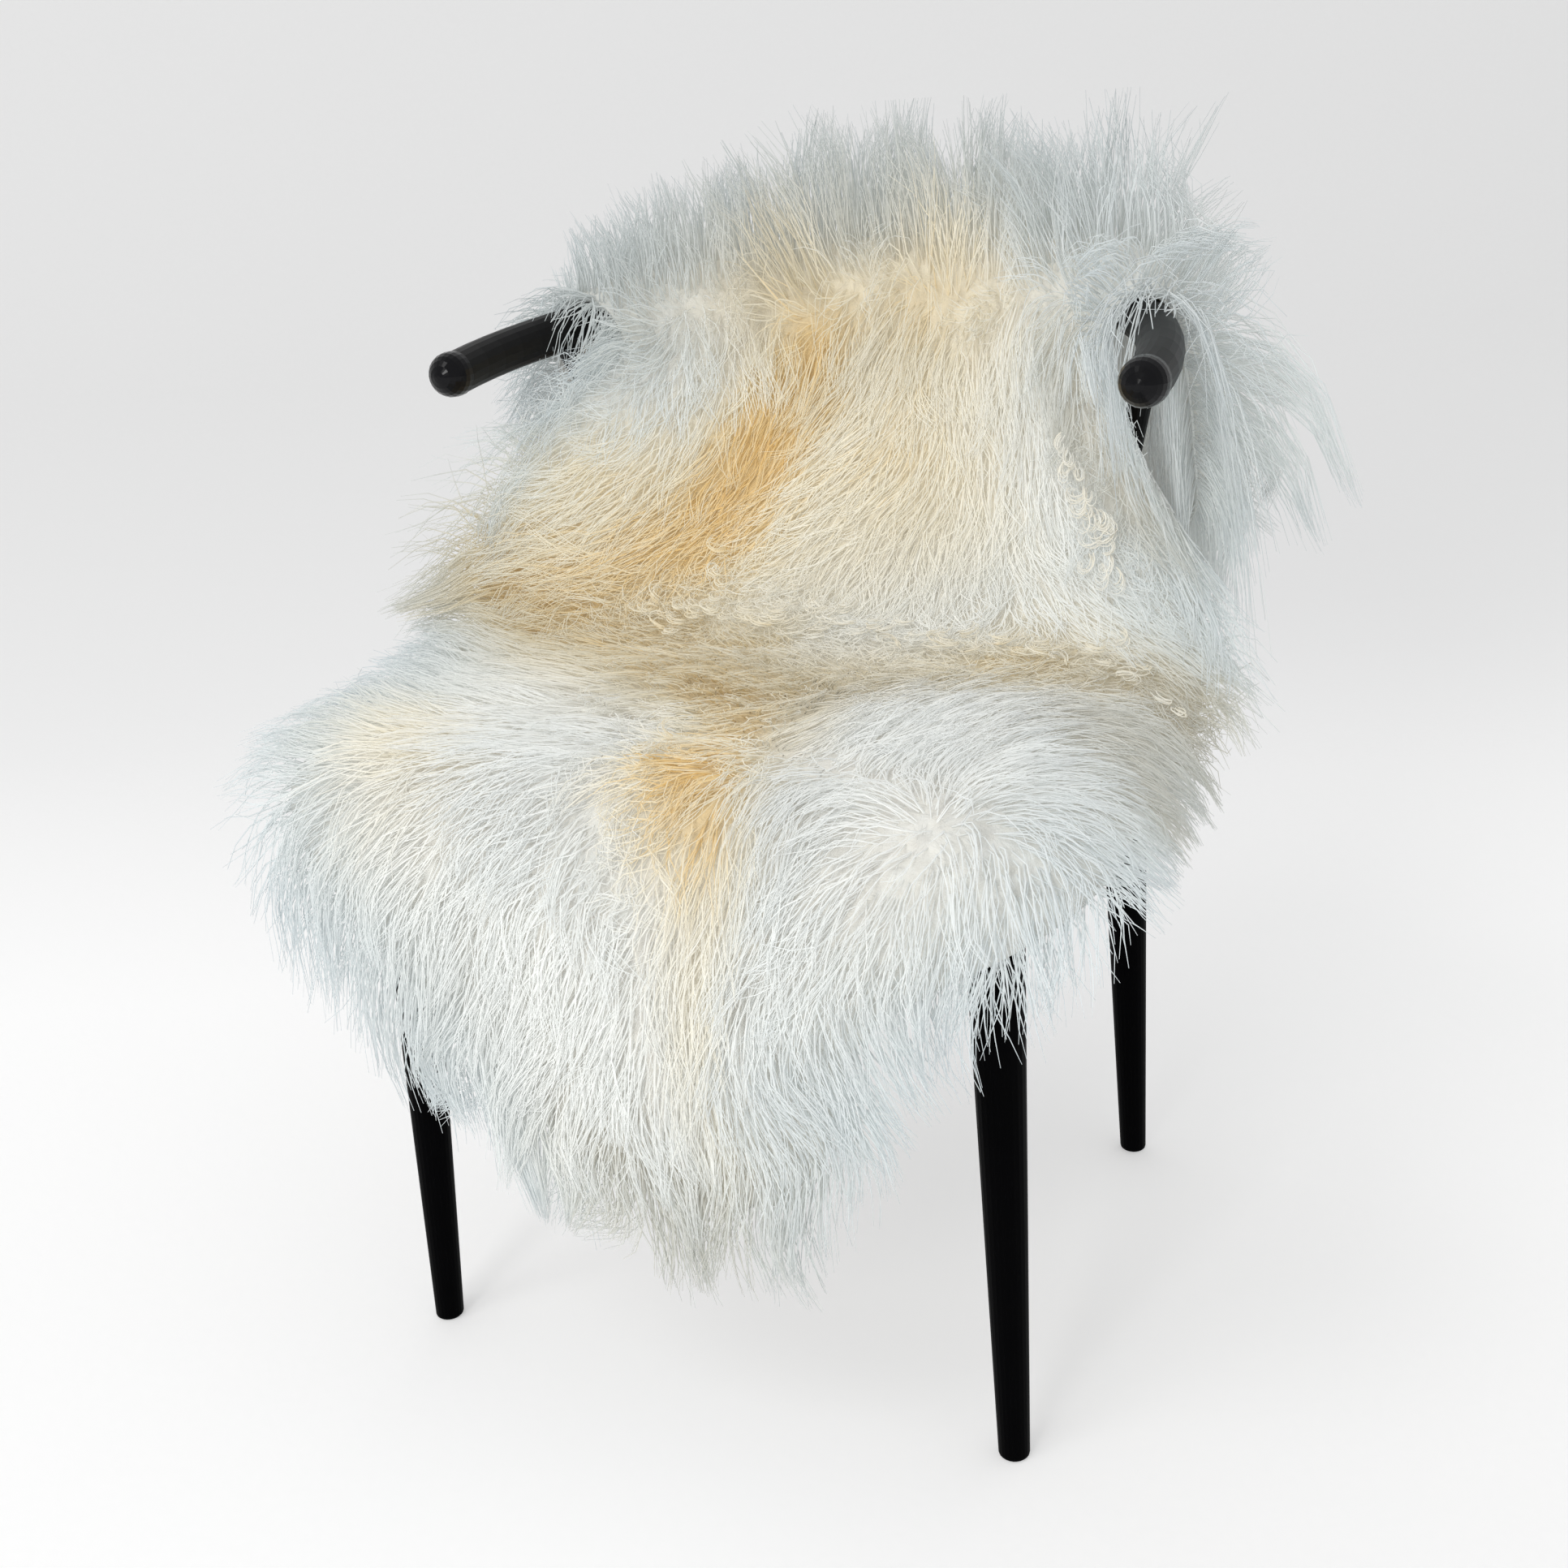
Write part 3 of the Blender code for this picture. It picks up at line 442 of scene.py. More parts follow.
class Skin:
    """The drape on a fine grid, with the ways the wool lies on it."""

    def __init__(self):
        under, top, rows = coarse_fleece()
        self.along, self.across = np.meshgrid(
            np.linspace(0, 1, FINE_ROWS), np.linspace(-1, 1, FINE_COLUMNS), indexing="ij")
        self.under = self.refined(under, rows)
        top = self.refined(top, rows)
        for field in (self.under, top):
            field[..., 0] += CENTRING[0]
            field[..., 1] += CENTRING[1]
        self.height = np.linalg.norm(top - self.under, axis=-1)
        self.out = unit(top - self.under)
        self.place = flat_place(self.along, self.across)
        self.rim = rim_distance(self.under)
        self.row_step = self.slope(self.under, 0)
        self.column_step = self.slope(self.under, 1)
        self.row_turn = self.slope(self.out, 0)
        self.column_turn = self.slope(self.out, 1)
        self.cells = np.linalg.norm(np.cross(self.row_step, self.column_step), axis=-1)[:-1, :-1]
        self.area = self.cells.sum() * 2 / self.cells.size
        self.outward = self.to_rim()
        self.combing, self.lift, self.length = self.combed()
        self.stand, self.crest = self.standing()
        self.honey = self.marked(STAINS) * (1 - HONEY_LOSS * self.stand)
        self.dull = self.marked(PAINTED_SHADE_PLACES)
        self.curls = self.marked(CURLS)

    @staticmethod
    def refined(field, rows):
        """A field of the coarse grid, on the fine grid."""
        field = smooth_curve(rows, field, np.linspace(0, 1, FINE_ROWS)).swapaxes(0, 1)
        columns, fine_columns = np.linspace(-1, 1, COLUMNS), np.linspace(-1, 1, FINE_COLUMNS)
        return smooth_curve(columns, field, fine_columns).swapaxes(0, 1)

    @staticmethod
    def slope(field, axis):
        """How the field changes for each whole step along, or across."""
        spacing = 1 / (FINE_ROWS - 1) if axis == 0 else 2 / (FINE_COLUMNS - 1)
        return np.gradient(field, axis=axis) / spacing

    def combed(self):
        """Direction, lift and length of the wool, blended between the combings."""
        names = ("along", "across", "lift", "length")
        total = {name: np.zeros(self.along.shape) for name in names}
        weight = np.full(self.along.shape, 1e-6)
        for _, along, across, reach, d_along, d_across, lift, length in COMBINGS:
            away = np.linalg.norm(self.place - flat_place(along, across), axis=-1)
            near = np.exp(-(away / reach) ** 2) + FAR_SHARE * np.exp(-away / FAR_REACH)
            size = math.hypot(d_along, d_across)
            weight += near
            for name, value in zip(names, (d_along / size, d_across / size, lift, length)):
                total[name] += near * value
        lie = np.stack([total["along"], total["across"]], axis=-1) / weight[..., None]
        lift = total["lift"] / weight
        for _, along, across, reach, strength in WHORLS:
            off = self.place - flat_place(along, across)
            away = np.linalg.norm(off, axis=-1, keepdims=True)
            lie = lie + strength * np.exp(-(away / reach) ** 2) * off / (away + WHORL_EYE)
            lift = lift + WHORL_LIFT * np.exp(-(away[..., 0] / reach * 2) ** 2)
        near = np.clip(1 - self.rim / RIM_BAND, 0, 1) ** RIM_BEND
        return lie + RIM_PULL * near[..., None] * self.outward, lift, total["length"] / weight

    def to_rim(self):
        """The way to the nearest side or end of the skin."""
        side = np.clip((np.abs(self.across) - SIDE_BAND[0]) / SIDE_BAND[1], 0, 1)
        end = np.clip((np.abs(self.along - 0.5) - END_BAND[0]) / END_BAND[1], 0, 1)
        return np.stack([np.where(self.along < 0.5, -end, end), np.sign(self.across) * side], axis=-1)

    def standing(self):
        """Where the wool stands upright on the rail, and how high its tips are above each place."""
        away = (self.along - CREST_ALONG) * SKIN_LENGTH / CREST_REACH
        places, heights = zip(*CREST_HEIGHTS)
        below_top = self.under[..., 2].max(axis=0) - self.under[..., 2]
        leaning = 1 - CREST_LEANING * np.clip((self.across - CREST_RIGHT[0]) / CREST_RIGHT[1], 0, 1)
        tips = np.interp(self.across, places, heights) + np.minimum(below_top, CREST_FOOT)
        return leaning * np.exp(-away ** 4), tips

    def marked(self, lines):
        """From 0 to 1, how strongly the lines of a table mark each place."""
        clean = np.ones(self.along.shape)
        for _, start, end, width, strength in lines:
            clean *= 1 - strength * near_line(self.place, start, end, width)
        return 1 - clean

    def flattened(self):
        """The same skin without its upright wool, for the fringe that droops over its edge."""
        other = copy.copy(self)
        other.stand = np.zeros(self.stand.shape)
        return other

    def turned_over(self):
        """The same skin seen from its leather side, for the wool that curls round its edge."""
        other = self.flattened()
        other.out, other.row_turn, other.column_turn = -self.out, -self.row_turn, -self.column_turn
        other.height = np.full(self.height.shape, WRAPPED_HEIGHT)
        other.length = np.full(self.length.shape, WRAPPED_LENGTH)
        other.combing = np.full(self.combing.shape, WRAPPED_WAY)
        other.lift = np.full(self.lift.shape, WRAPPED_LIFT)
        return other

    def read(self, field, along, across):
        """The field at any places, between the grid's points."""
        x = np.clip(along, 0, 1) * (FINE_ROWS - 1)
        y = (np.clip(across, -1, 1) + 1) / 2 * (FINE_COLUMNS - 1)
        i = np.minimum(x.astype(int), FINE_ROWS - 2)
        j = np.minimum(y.astype(int), FINE_COLUMNS - 2)
        x, y = x - i, y - j
        if field.ndim == 3:
            x, y = x[:, None], y[:, None]
        low = field[i, j] * (1 - y) + field[i, j + 1] * y
        high = field[i + 1, j] * (1 - y) + field[i + 1, j + 1] * y
        return low * (1 - x) + high * x

    def directions(self, along, across):
        """The ways out of the skin, along it and across it, and how far its grid runs there."""
        out = unit(self.read(self.out, along, across))
        rows = self.read(self.row_step, along, across)
        columns = self.read(self.column_step, along, across)
        first = unit(rows - out * np.sum(rows * out, axis=1, keepdims=True))
        second = np.cross(out, first)
        second *= np.sign(np.sum(second * columns, axis=1, keepdims=True))
        return out, first, second, rows, columns


# ---------------------------------------------------------------- planning the fibres
UPRIGHT_OUT, UPRIGHT_SPREAD = 0.35, (0.5, 0.3)   # how upright wool leans out of the skin, and apart
SWAY_DROP = 0.3                  # how much a tip that sways comes down
NO_CEILING = (0.65, 0.2)         # wool lifted more than this rises past the fleece's height
CURLINESS = 4.5                  # how much more the wool winds where its ends curl
LIFTS = (0.05, 0.97)             # the least and the most that wool is lifted
FALL = 1.3                       # how much slack wool turns downhill
SLACK_BEND, OWN_BEND = 1.2, 0.05                 # how soon slack wool, and all wool, lies over
CEILING_POWER, SINKING = 4, -0.4                 # how it stays under the fleece's height
LEAST_LEVEL, LEAST_SKEW = 0.05, 0.2              # of a step's length, and of a square grid's
LEAST_CELL = 0.4                 # of a grid cell's size, above a hollow that crowds the wool
LEAST_RISE = 0.003
END_INSET = 0.004                # no wool starts nearer to the skin's two ends, as a share of it
LOCK_STRETCH, LOCK_CLOSING = (-0.12, 0.10), 1.2  # how a lock's fibres differ, and close on its end
LONG_WOOL = (0.045, 0.08)        # wool longer than this forms tufts, fully after this much more
TUFTS_LOST = 0.40                # of the tufts' pull, in the upright wool
CROWN_DROP, CROWN_REACH = 0.42, 0.65             # the upright tufts' round tops
TONE_SHARES = (0.45, 0.20, 0.35)                 # of the lock's, the tuft's and the fibre's own tone


def scatter(skin, count, rng):
    """Places spread evenly over the skin's area, in the order of its rows."""
    area = skin.cells * (1 + CREST_DENSER * skin.stand[:-1, :-1])
    ends = np.cumsum(area.ravel())
    marks = (np.arange(count) + rng.random(count)) * ends[-1] / count
    cell = np.searchsorted(ends, marks)
    i, j = np.unravel_index(np.clip(cell, 0, len(ends) - 1), area.shape)
    along = (i + rng.random(count)) / (FINE_ROWS - 1)
    across = (j + rng.random(count)) / (FINE_COLUMNS - 1) * 2 - 1
    return np.clip(along, END_INSET, 1 - END_INSET), across * (1 - RIM_INSET)


def standing_paths(skin, along, across, traits, roots):
    """Paths of upright fibres on the rail."""
    tall = skin.read(skin.crest, along, across) * traits["length"]
    way = UP + UPRIGHT_OUT * skin.read(skin.out, along, across)
    way[:, 0] += UPRIGHT_SPREAD[0] * traits["turn"]
    way[:, 1] += UPRIGHT_SPREAD[1] * traits["curl"]
    way /= way[:, 2:]
    wave, phase = traits["wave"], traits["phase"]
    sway = np.stack([wave * np.cos(phase), wave * np.sin(phase), -SWAY_DROP * wave], axis=-1)
    share = np.linspace(0, 1, PATH_STEPS + 1)[None, :, None]
    return roots + tall[:, None, None] * (way[:, None] * share + sway[:, None] * share ** 2)


def widened(steps, turns, rise):
    """A grid line's direction, and its spacing at a height above the skin."""
    high = np.linalg.norm(steps + turns * rise[:, None], axis=1)
    return unit(steps), np.maximum(high, LEAST_CELL * np.linalg.norm(steps, axis=1))


def grow(skin, along, across, traits):
    """Paths of fibres that leave the skin, lie over along the combing and droop past the rim."""
    stand = skin.read(skin.stand, along, across)[:, None, None]
    height = skin.read(skin.height, along, across)
    rise = height * traits["start"]
    lift = skin.read(skin.lift, along, across)
    upright = np.clip((lift - NO_CEILING[0]) / NO_CEILING[1], 0, 1)
    length = skin.read(skin.length, along, across) * traits["length"]
    ceiling = height * traits["ceiling"] * (1 - upright) + length * upright
    curly = 1 + CURLINESS * skin.read(skin.curls, along, across)
    lift = np.clip(lift * traits["lift"], *LIFTS)
    beyond = np.zeros((len(along), 3))
    step = length / PATH_STEPS
    path = [skin.read(skin.under, along, across) + skin.read(skin.out, along, across) * rise[:, None]]
    standing = standing_paths(skin, along, across, traits, path[0][:, None])
    for k in range(PATH_STEPS):
        share = (k + 0.5) / PATH_STEPS
        out, first, second, rows, columns = skin.directions(along, across)

        # the way it goes: as combed, turned by its own bends, and downhill where it is slack
        lie = unit(skin.read(skin.combing, along, across))
        lie = unit(lie + traits["outward"][:, None] * skin.read(skin.outward, along, across))
        wave = traits["wave"] * np.sin(2 * math.pi * share + traits["phase"])
        angle = traits["turn"] + (traits["curl"] * share + wave) * curly
        on_first = lie[:, 0] * np.cos(angle) - lie[:, 1] * np.sin(angle)
        on_second = lie[:, 0] * np.sin(angle) + lie[:, 1] * np.cos(angle)
        flat = first * on_first[:, None] + second * on_second[:, None]
        fall = DOWN - out * (out @ DOWN)[:, None]
        flat = unit(flat + fall * (FALL * (1 - lift) * share * traits["weight"])[:, None])
        room = np.clip(1 - (rise / ceiling) ** CEILING_POWER, SINKING, 1)
        up = lift * (1 - share) ** (SLACK_BEND * (1 - lift) + OWN_BEND) * room
        level = step * np.sqrt(np.maximum(1 - up ** 2, LEAST_LEVEL))

        # the same way as a move on the skin's grid, which is wider or narrower up where it is
        row_way, row_size = widened(rows, skin.read(skin.row_turn, along, across), rise)
        column_way, column_size = widened(columns, skin.read(skin.column_turn, along, across), rise)
        mixed = np.sum(row_way * column_way, axis=1)
        on_row, on_column = np.sum(flat * row_way, axis=1), np.sum(flat * column_way, axis=1)
        bottom = np.maximum(1 - mixed ** 2, LEAST_SKEW)
        new_along = along + (on_row - mixed * on_column) / bottom * level / row_size
        new_across = across + (on_column - mixed * on_row) / bottom * level / column_size

        # what would leave the skin goes on in the air, and droops
        along, across = np.clip(new_along, 0, 1), np.clip(new_across, -1, 1)
        past = row_way * ((new_along - along) * row_size * PAST_RIM)[:, None]
        past += column_way * ((new_across - across) * column_size * PAST_RIM)[:, None]
        is_past = np.linalg.norm(past, axis=1) > 0
        droop = traits["droop"] * step * share * is_past
        beyond += past + DOWN * droop[:, None]
        rise = np.maximum(rise + step * up, LEAST_RISE)
        above = unit(skin.read(skin.out, along, across)) * rise[:, None]
        path.append(skin.read(skin.under, along, across) + above + beyond)
    path = np.stack(path, axis=1)
    return path + (standing - path) * stand


def random_traits(rng, count, spread):
    """Random differences between fibres, or between clumps with a wide spread."""
    return {
        "start": rng.uniform(0.08, 0.32, count),
        "ceiling": 1 + rng.uniform(-0.25, 0.25, count) * spread,
        "length": 1 + rng.uniform(-0.30, 0.25, count) * spread,
        "lift": 1 + rng.uniform(-0.25, 0.25, count) * spread,
        "turn": rng.normal(0, 0.34 * spread, count),
        "curl": rng.normal(0, 0.45 * spread, count),
        "wave": rng.uniform(0.1, 0.5, count),
        "phase": rng.uniform(0, 2 * math.pi, count),
        "weight": rng.uniform(0.4, 1.0, count),
        "droop": rng.uniform(0.2, 0.6, count),
        "outward": np.zeros(count),
    }


def nearest_clump(clumps, fibres):
    """The number of the clump that each fibre is nearest to."""
    tree = kdtree.KDTree(len(clumps[0]))
    for number, spot in enumerate(flat_place(*clumps)):
        tree.insert((spot[0], spot[1], 0), number)
    tree.balance()
    return np.array([tree.find((x, y, 0))[1] for x, y in flat_place(*fibres)])


def within_box(paths):
    """Shortens the fibres that would stand too far out of the CAD's box."""
    low, high = (np.array(corner) for corner in cad_box)
    margin = (high - low) * BOX_MARGIN_SHARE + BOX_MARGIN
    low, high = low - margin, high + margin
    root = paths[:, :1]
    reach = paths - root
    tiny, plenty = 1e-6, 9
    room_up = np.where(reach > tiny, (high - root) / np.maximum(reach, tiny), plenty)
    room_down = np.where(reach < -tiny, (low - root) / np.minimum(reach, -tiny), plenty)
    share = np.minimum(room_up, room_down).min(axis=(1, 2))
    return root + reach * np.clip(share, LEAST_SHARE, 1)[:, None, None]


def gathered(skin, paths, roots, rng, pull, spacing, spread):
    """Draws the fibres' ends together into locks, and gives each fibre its lock's shade."""
    count = int(skin.area / spacing ** 2)
    locks = scatter(skin, count, rng)
    home = nearest_clump(locks, roots)
    lock_places = flat_place(*locks)[home]
    away = np.linalg.norm(flat_place(*roots) - lock_places, axis=-1) / spacing
    target = grow(skin, *locks, random_traits(rng, count, spread))[home]
    share = np.linspace(0, 1, paths.shape[1])
    stretch = rng.uniform(*LOCK_STRETCH, len(home))[:, None, None]
    target = target + (target - target[:, :1]) * stretch * share[:, None]
    drawn = pull[:, None] * share ** LOCK_CLOSING
    return paths + (target - paths) * drawn[..., None], rng.random(count)[home], away


def combed_fibres(skin, rng):
    """Fibres all over the skin, drawn together into small locks and wide tufts."""
    roots = scatter(skin, FIBRE_COUNT, rng)
    paths = grow(skin, *roots, random_traits(rng, FIBRE_COUNT, spread=0.6))
    long_wool = np.clip((skin.read(skin.length, *roots) - LONG_WOOL[0]) / LONG_WOOL[1], 0, 1)
    stand = skin.read(skin.stand, *roots)
    small_pull = rng.uniform(*SMALL_PULL, FIBRE_COUNT)
    wide_pull = rng.uniform(*WIDE_PULL, FIBRE_COUNT) * (long_wool * (1 - TUFTS_LOST * stand))
    paths, small_shade, _ = gathered(skin, paths, roots, rng, small_pull, CLUMP_SPACING, spread=1.0)
    paths, wide_shade, away = gathered(skin, paths, roots, rng, wide_pull, TUFT_SPACING, spread=0.8)
    crown = 1 - CROWN_DROP * stand * np.clip(away / CROWN_REACH, 0, 1) ** 2
    paths = paths[:, :1] + (paths - paths[:, :1]) * crown[:, None, None]
    lock, tuft, own = TONE_SHARES
    return roots, paths, small_shade * lock + wide_shade * tuft + rng.random(FIBRE_COUNT) * own


def edge_fibres(skin, rng):
    """Fibres that stand out from the very edge of the skin, and droop more beside the arms."""
    count = EDGE_COUNT
    along, side = rng.uniform(0.0, 1.0, count), rng.choice([-1.0, 1.0], count)
    by_arms = rng.random(count) < ARM_EDGE_SHARE
    along = np.where(by_arms, rng.uniform(*ARM_EDGE, count), along)
    roots = along, side * (1 - RIM_INSET - EDGE_WIDTH * rng.random(count) ** 2)
    traits = random_traits(rng, count, spread=0.8)
    traits["outward"] = np.full(count, 2.0)
    traits["start"] = rng.uniform(0.0, 0.15, count)
    traits["lift"] *= np.where(by_arms, 0.5, 0.8)
    traits["droop"] = np.where(by_arms, rng.uniform(0.8, 1.8, count), traits["droop"])
    traits["length"] *= np.where(by_arms, rng.uniform(0.55, 0.95, count), 0.85)
    return roots, grow(skin.flattened(), *roots, traits)


def wrapped_fibres(skin, rng):
    """Fibres that curl round the edge of the flap behind, on its leather side."""
    along = rng.uniform(*WRAPPED_ALONG, WRAPPED_COUNT)
    across = rng.uniform(WRAPPED_FROM, 1 - RIM_INSET, WRAPPED_COUNT)
    traits = random_traits(rng, WRAPPED_COUNT, spread=0.8)
    traits["start"] = np.zeros(WRAPPED_COUNT)
    return (along, across), grow(skin.turned_over(), along, across, traits)


def plan_fibres(skin):
    """The paths of all the combed fibres, with the facts that their finish needs."""
    rng = np.random.default_rng(FIBRE_SEED)
    roots, paths, tones = combed_fibres(skin, rng)
    edge, edge_paths = edge_fibres(skin, rng)
    wrapped, wrapped_paths = wrapped_fibres(skin, rng)
    paths = np.concatenate([paths, edge_paths, wrapped_paths])
    roots = [np.concatenate(places) for places in zip(roots, edge, wrapped)]
    count = len(paths)
    picks = np.linspace(0, PATH_STEPS, FIBRE_POINTS)
    whole = np.minimum(picks.astype(int), PATH_STEPS - 1)
    part = (picks - whole)[None, :, None]
    paths = paths[:, whole] * (1 - part) + paths[:, whole + 1] * part
    stand = skin.read(skin.stand, *roots)
    facts = {
        "honey": skin.read(skin.honey, *roots) * rng.uniform(0.75, 1.2, count),
        "dull": skin.read(skin.dull, *roots) * rng.uniform(0.8, 1.2, count),
        "near_rim": np.maximum(rim_tint(skin.read(skin.rim, *roots)), stand),
        # painted shade: the upright wool on the rail gets a lower tone, so more cool shade and root shade
        # are mixed into it
        "tone": np.concatenate([tones, rng.random(EDGE_COUNT + WRAPPED_COUNT)]) * (1 - 0.8 * stand),
        "size": rng.uniform(0.65, 1.25, count) * (1 + 0.2 * stand),
    }
    out = skin.read(skin.out, *roots) + RAISED * UP
    out[-WRAPPED_COUNT:] = UP - skin.read(skin.out, *wrapped)
    return within_box(paths), facts, unit(out)


def curled_locks(skin):
    """Short locks that curl on top of the wool, where two parts of the skin meet."""
    rng = np.random.default_rng(CURL_SEED)
    chosen = rng.choice(len(CURLS), CURLED_LOCKS, p=CURL_SHARES)
    starts = np.array([CURLS[k][1] for k in chosen])
    ends = np.array([CURLS[k][2] for k in chosen])
    spots = starts + (ends - starts) * rng.random((CURLED_LOCKS, 1))
    along = np.clip(spots[:, 0] + rng.normal(0, CURLED_STRAY[0], CURLED_LOCKS), 0.01, 0.99)
    across = np.clip(spots[:, 1] + rng.normal(0, CURLED_STRAY[1], CURLED_LOCKS), -0.96, 0.96)
    out, first, second, *_ = skin.directions(along, across)
    lie = unit(skin.read(skin.combing, along, across) + rng.normal(0, CURLED_TURN, (CURLED_LOCKS, 2)))
    ahead = first * lie[:, :1] + second * lie[:, 1:]
    aside = np.cross(out, ahead)
    base = skin.read(skin.height, along, across) * CURLED_HEIGHT
    base = skin.read(skin.under, along, across) + out * base[:, None]
    whole_turn = rng.choice([-1.0, 1.0], CURLED_LOCKS) * rng.uniform(*CURLED_ROUND, CURLED_LOCKS)

    lock = np.repeat(np.arange(CURLED_LOCKS), CURLED_FIBRES)         # each fibre's lock
    count = len(lock)
    share = np.linspace(0, 1, CURLED_POINTS)
    turn = (whole_turn[lock] + rng.normal(0, 0.30, count))[:, None] * share ** 1.4
    turn = turn + rng.normal(0, 0.12, count)[:, None]
    step = CURLED_LENGTH * rng.uniform(0.7, 1.2, count) / (CURLED_POINTS - 1)
    way = ahead[lock, None] * np.cos(turn)[..., None] + aside[lock, None] * np.sin(turn)[..., None]
    way += out[lock, None] * (CURLED_UP - CURLED_DOWN * share)[None, :, None]
    way *= (step[:, None] * (1 - CURLED_TIGHTER * share))[..., None]
    start = base[lock] + rng.normal(0, CURLED_APART, (count, 3))
    paths = start[:, None] + np.cumsum(way, axis=1) - way[:, :1]
    honey = skin.read(skin.honey, along, across)[lock]
    facts = {
        "honey": honey * 0.6 + rng.uniform(0.06, 0.22, count),
        "dull": rng.uniform(0.05, 0.30, count),
        "near_rim": np.zeros(count),
        "tone": rng.random(count),
        "size": rng.uniform(0.8, 1.1, count),
    }
    return within_box(paths), facts, unit(out[lock] + RAISED * UP)


# ---------------------------------------------------------------- node trees as expressions
class Signal:
    """One output of a node. Arithmetic on values adds Math nodes."""

    def __init__(self, sheet, socket):
        self.sheet, self.socket = sheet, socket

    def maths(self, operation, *others):
        return self.sheet.maths(operation, self, *others)

    def __add__(self, other):
        return self.maths("ADD", other)

    def __sub__(self, other):
        return self.maths("SUBTRACT", other)

    def __mul__(self, other):
        return self.maths("MULTIPLY", other)

    def __truediv__(self, other):
        return self.maths("DIVIDE", other)

    def __pow__(self, other):
        return self.maths("POWER", other)

    def __rsub__(self, other):
        return self.sheet.maths("SUBTRACT", other, self)

    def __rtruediv__(self, other):
        return self.sheet.maths("DIVIDE", other, self)

    __radd__ = __add__
    __rmul__ = __mul__

    def clamped(self):
        return self.sheet.node("ShaderNodeClamp", {}, {"Value": self})["Result"]


class Made:
    """A node that was made, with its outputs by name or number."""

    def __init__(self, sheet, node):
        self.sheet, self.node = sheet, node

    def __getitem__(self, name):
        return Signal(self.sheet, self.node.outputs[name])


class Sheet:
    """A node tree to write on."""

    def __init__(self, tree):
        self.tree = tree

    def node(self, kind, settings, sockets):
        """Makes a node: first its settings, then the values or links of its sockets."""
        made = self.tree.nodes.new(kind)
        for name, value in settings.items():
            setattr(made, name, value)
        for name, value in sockets.items():
            socket = made.inputs[name]
            if isinstance(value, Signal):
                self.tree.links.new(value.socket, socket)
            else:
                socket.default_value = value
        return Made(self, made)

    def maths(self, operation, *values):
        sockets = dict(enumerate(values))
        return self.node("ShaderNodeMath", {"operation": operation}, sockets)["Value"]

    def mixed(self, first, second, share):
        """Colours mixed by a share."""
        sockets = {"Factor": share, 6: first, 7: second}
        return self.node("ShaderNodeMix", {"data_type": "RGBA"}, sockets)[2]

    def fact(self, name):
        """A value stored on the mesh."""
        return self.node("ShaderNodeAttribute", {"attribute_name": name}, {})["Fac"]

    def here(self):
        """The place on the object."""
        return self.node("ShaderNodeTexCoord", {}, {})["Object"]

    def noise(self, scale, detail=3.0, roughness=0.5, distortion=0.0):
        sockets = {"Vector": self.here(), "Scale": scale, "Detail": detail}
        sockets |= {"Roughness": roughness, "Distortion": distortion}
        return self.node("ShaderNodeTexNoise", {}, sockets)["Fac"]

    def bump(self, height, strength, distance):
        sockets = {"Height": height, "Strength": strength, "Distance": distance}
        return self.node("ShaderNodeBump", {}, sockets)["Normal"]


def colour(red, green, blue):
    """A colour as it shows on a screen (0 to 255), as the linear values that nodes take."""
    values = [v / 255 for v in (red, green, blue)]
    return (*(v / 12.92 if v < 0.04045 else ((v + 0.055) / 1.055) ** 2.4 for v in values), 1.0)


IVORY = colour(240, 242, 239)
HONEY = colour(243, 225, 178)
AMBER = colour(234, 197, 128)
# the tips' own cool white, darkened as painted shade for the rims and the crest
COOL_WHITE_AND_SHADE = colour(218, 226, 229)
# painted shade: the cool grey that the shaded rims and the upright crest are mixed towards
COOL_SHADE = colour(160, 175, 184)
# painted shade: the warm brown that the wool darkens towards deep in the fleece
ROOT_SHADE = colour(200, 186, 160)
# painted shade: the colour of shaded wool in creases, under the arms and on parts turned from the light
PAINTED_SHADE = colour(178, 167, 138)
HIDE_TAN, HIDE_BROWN = colour(216, 198, 172), colour(196, 166, 128)
SATIN_BLACK, SATIN_CLOUD = colour(2, 2, 3), colour(6, 6, 7)
GLOSS_BLACK, GLOSS_CLOUD = colour(4, 4, 6), colour(11, 11, 15)
SEAT_DARK, SEAT_LIGHT = colour(20, 20, 21), colour(38, 37, 36)
PAPER_NEAR, PAPER_FAR, PAPER_GRAIN = colour(220, 220, 220), colour(192, 192, 192), colour(200, 200, 200)
WOOL_GLOW = 0.20                 # painted light: the wool glows with its own colour, standing in for light that passes through the wool from fibre to fibre
EVENNESS = 0.45                  # how far a fibre takes the light as the fleece under it does


def finish(name, paint, **constants):
    """A material whose Principled shader gets its varying sockets from paint(sheet)."""
    material = bpy.data.materials.new(name)
    material.use_nodes = True
    sheet = Sheet(material.node_tree)
    shader = material.node_tree.nodes["Principled BSDF"]
    for socket, value in paint(sheet).items():
        material.node_tree.links.new(value.socket, shader.inputs[socket])
    for socket, value in constants.items():
        shader.inputs[socket.replace("_", " ")].default_value = value
    return material


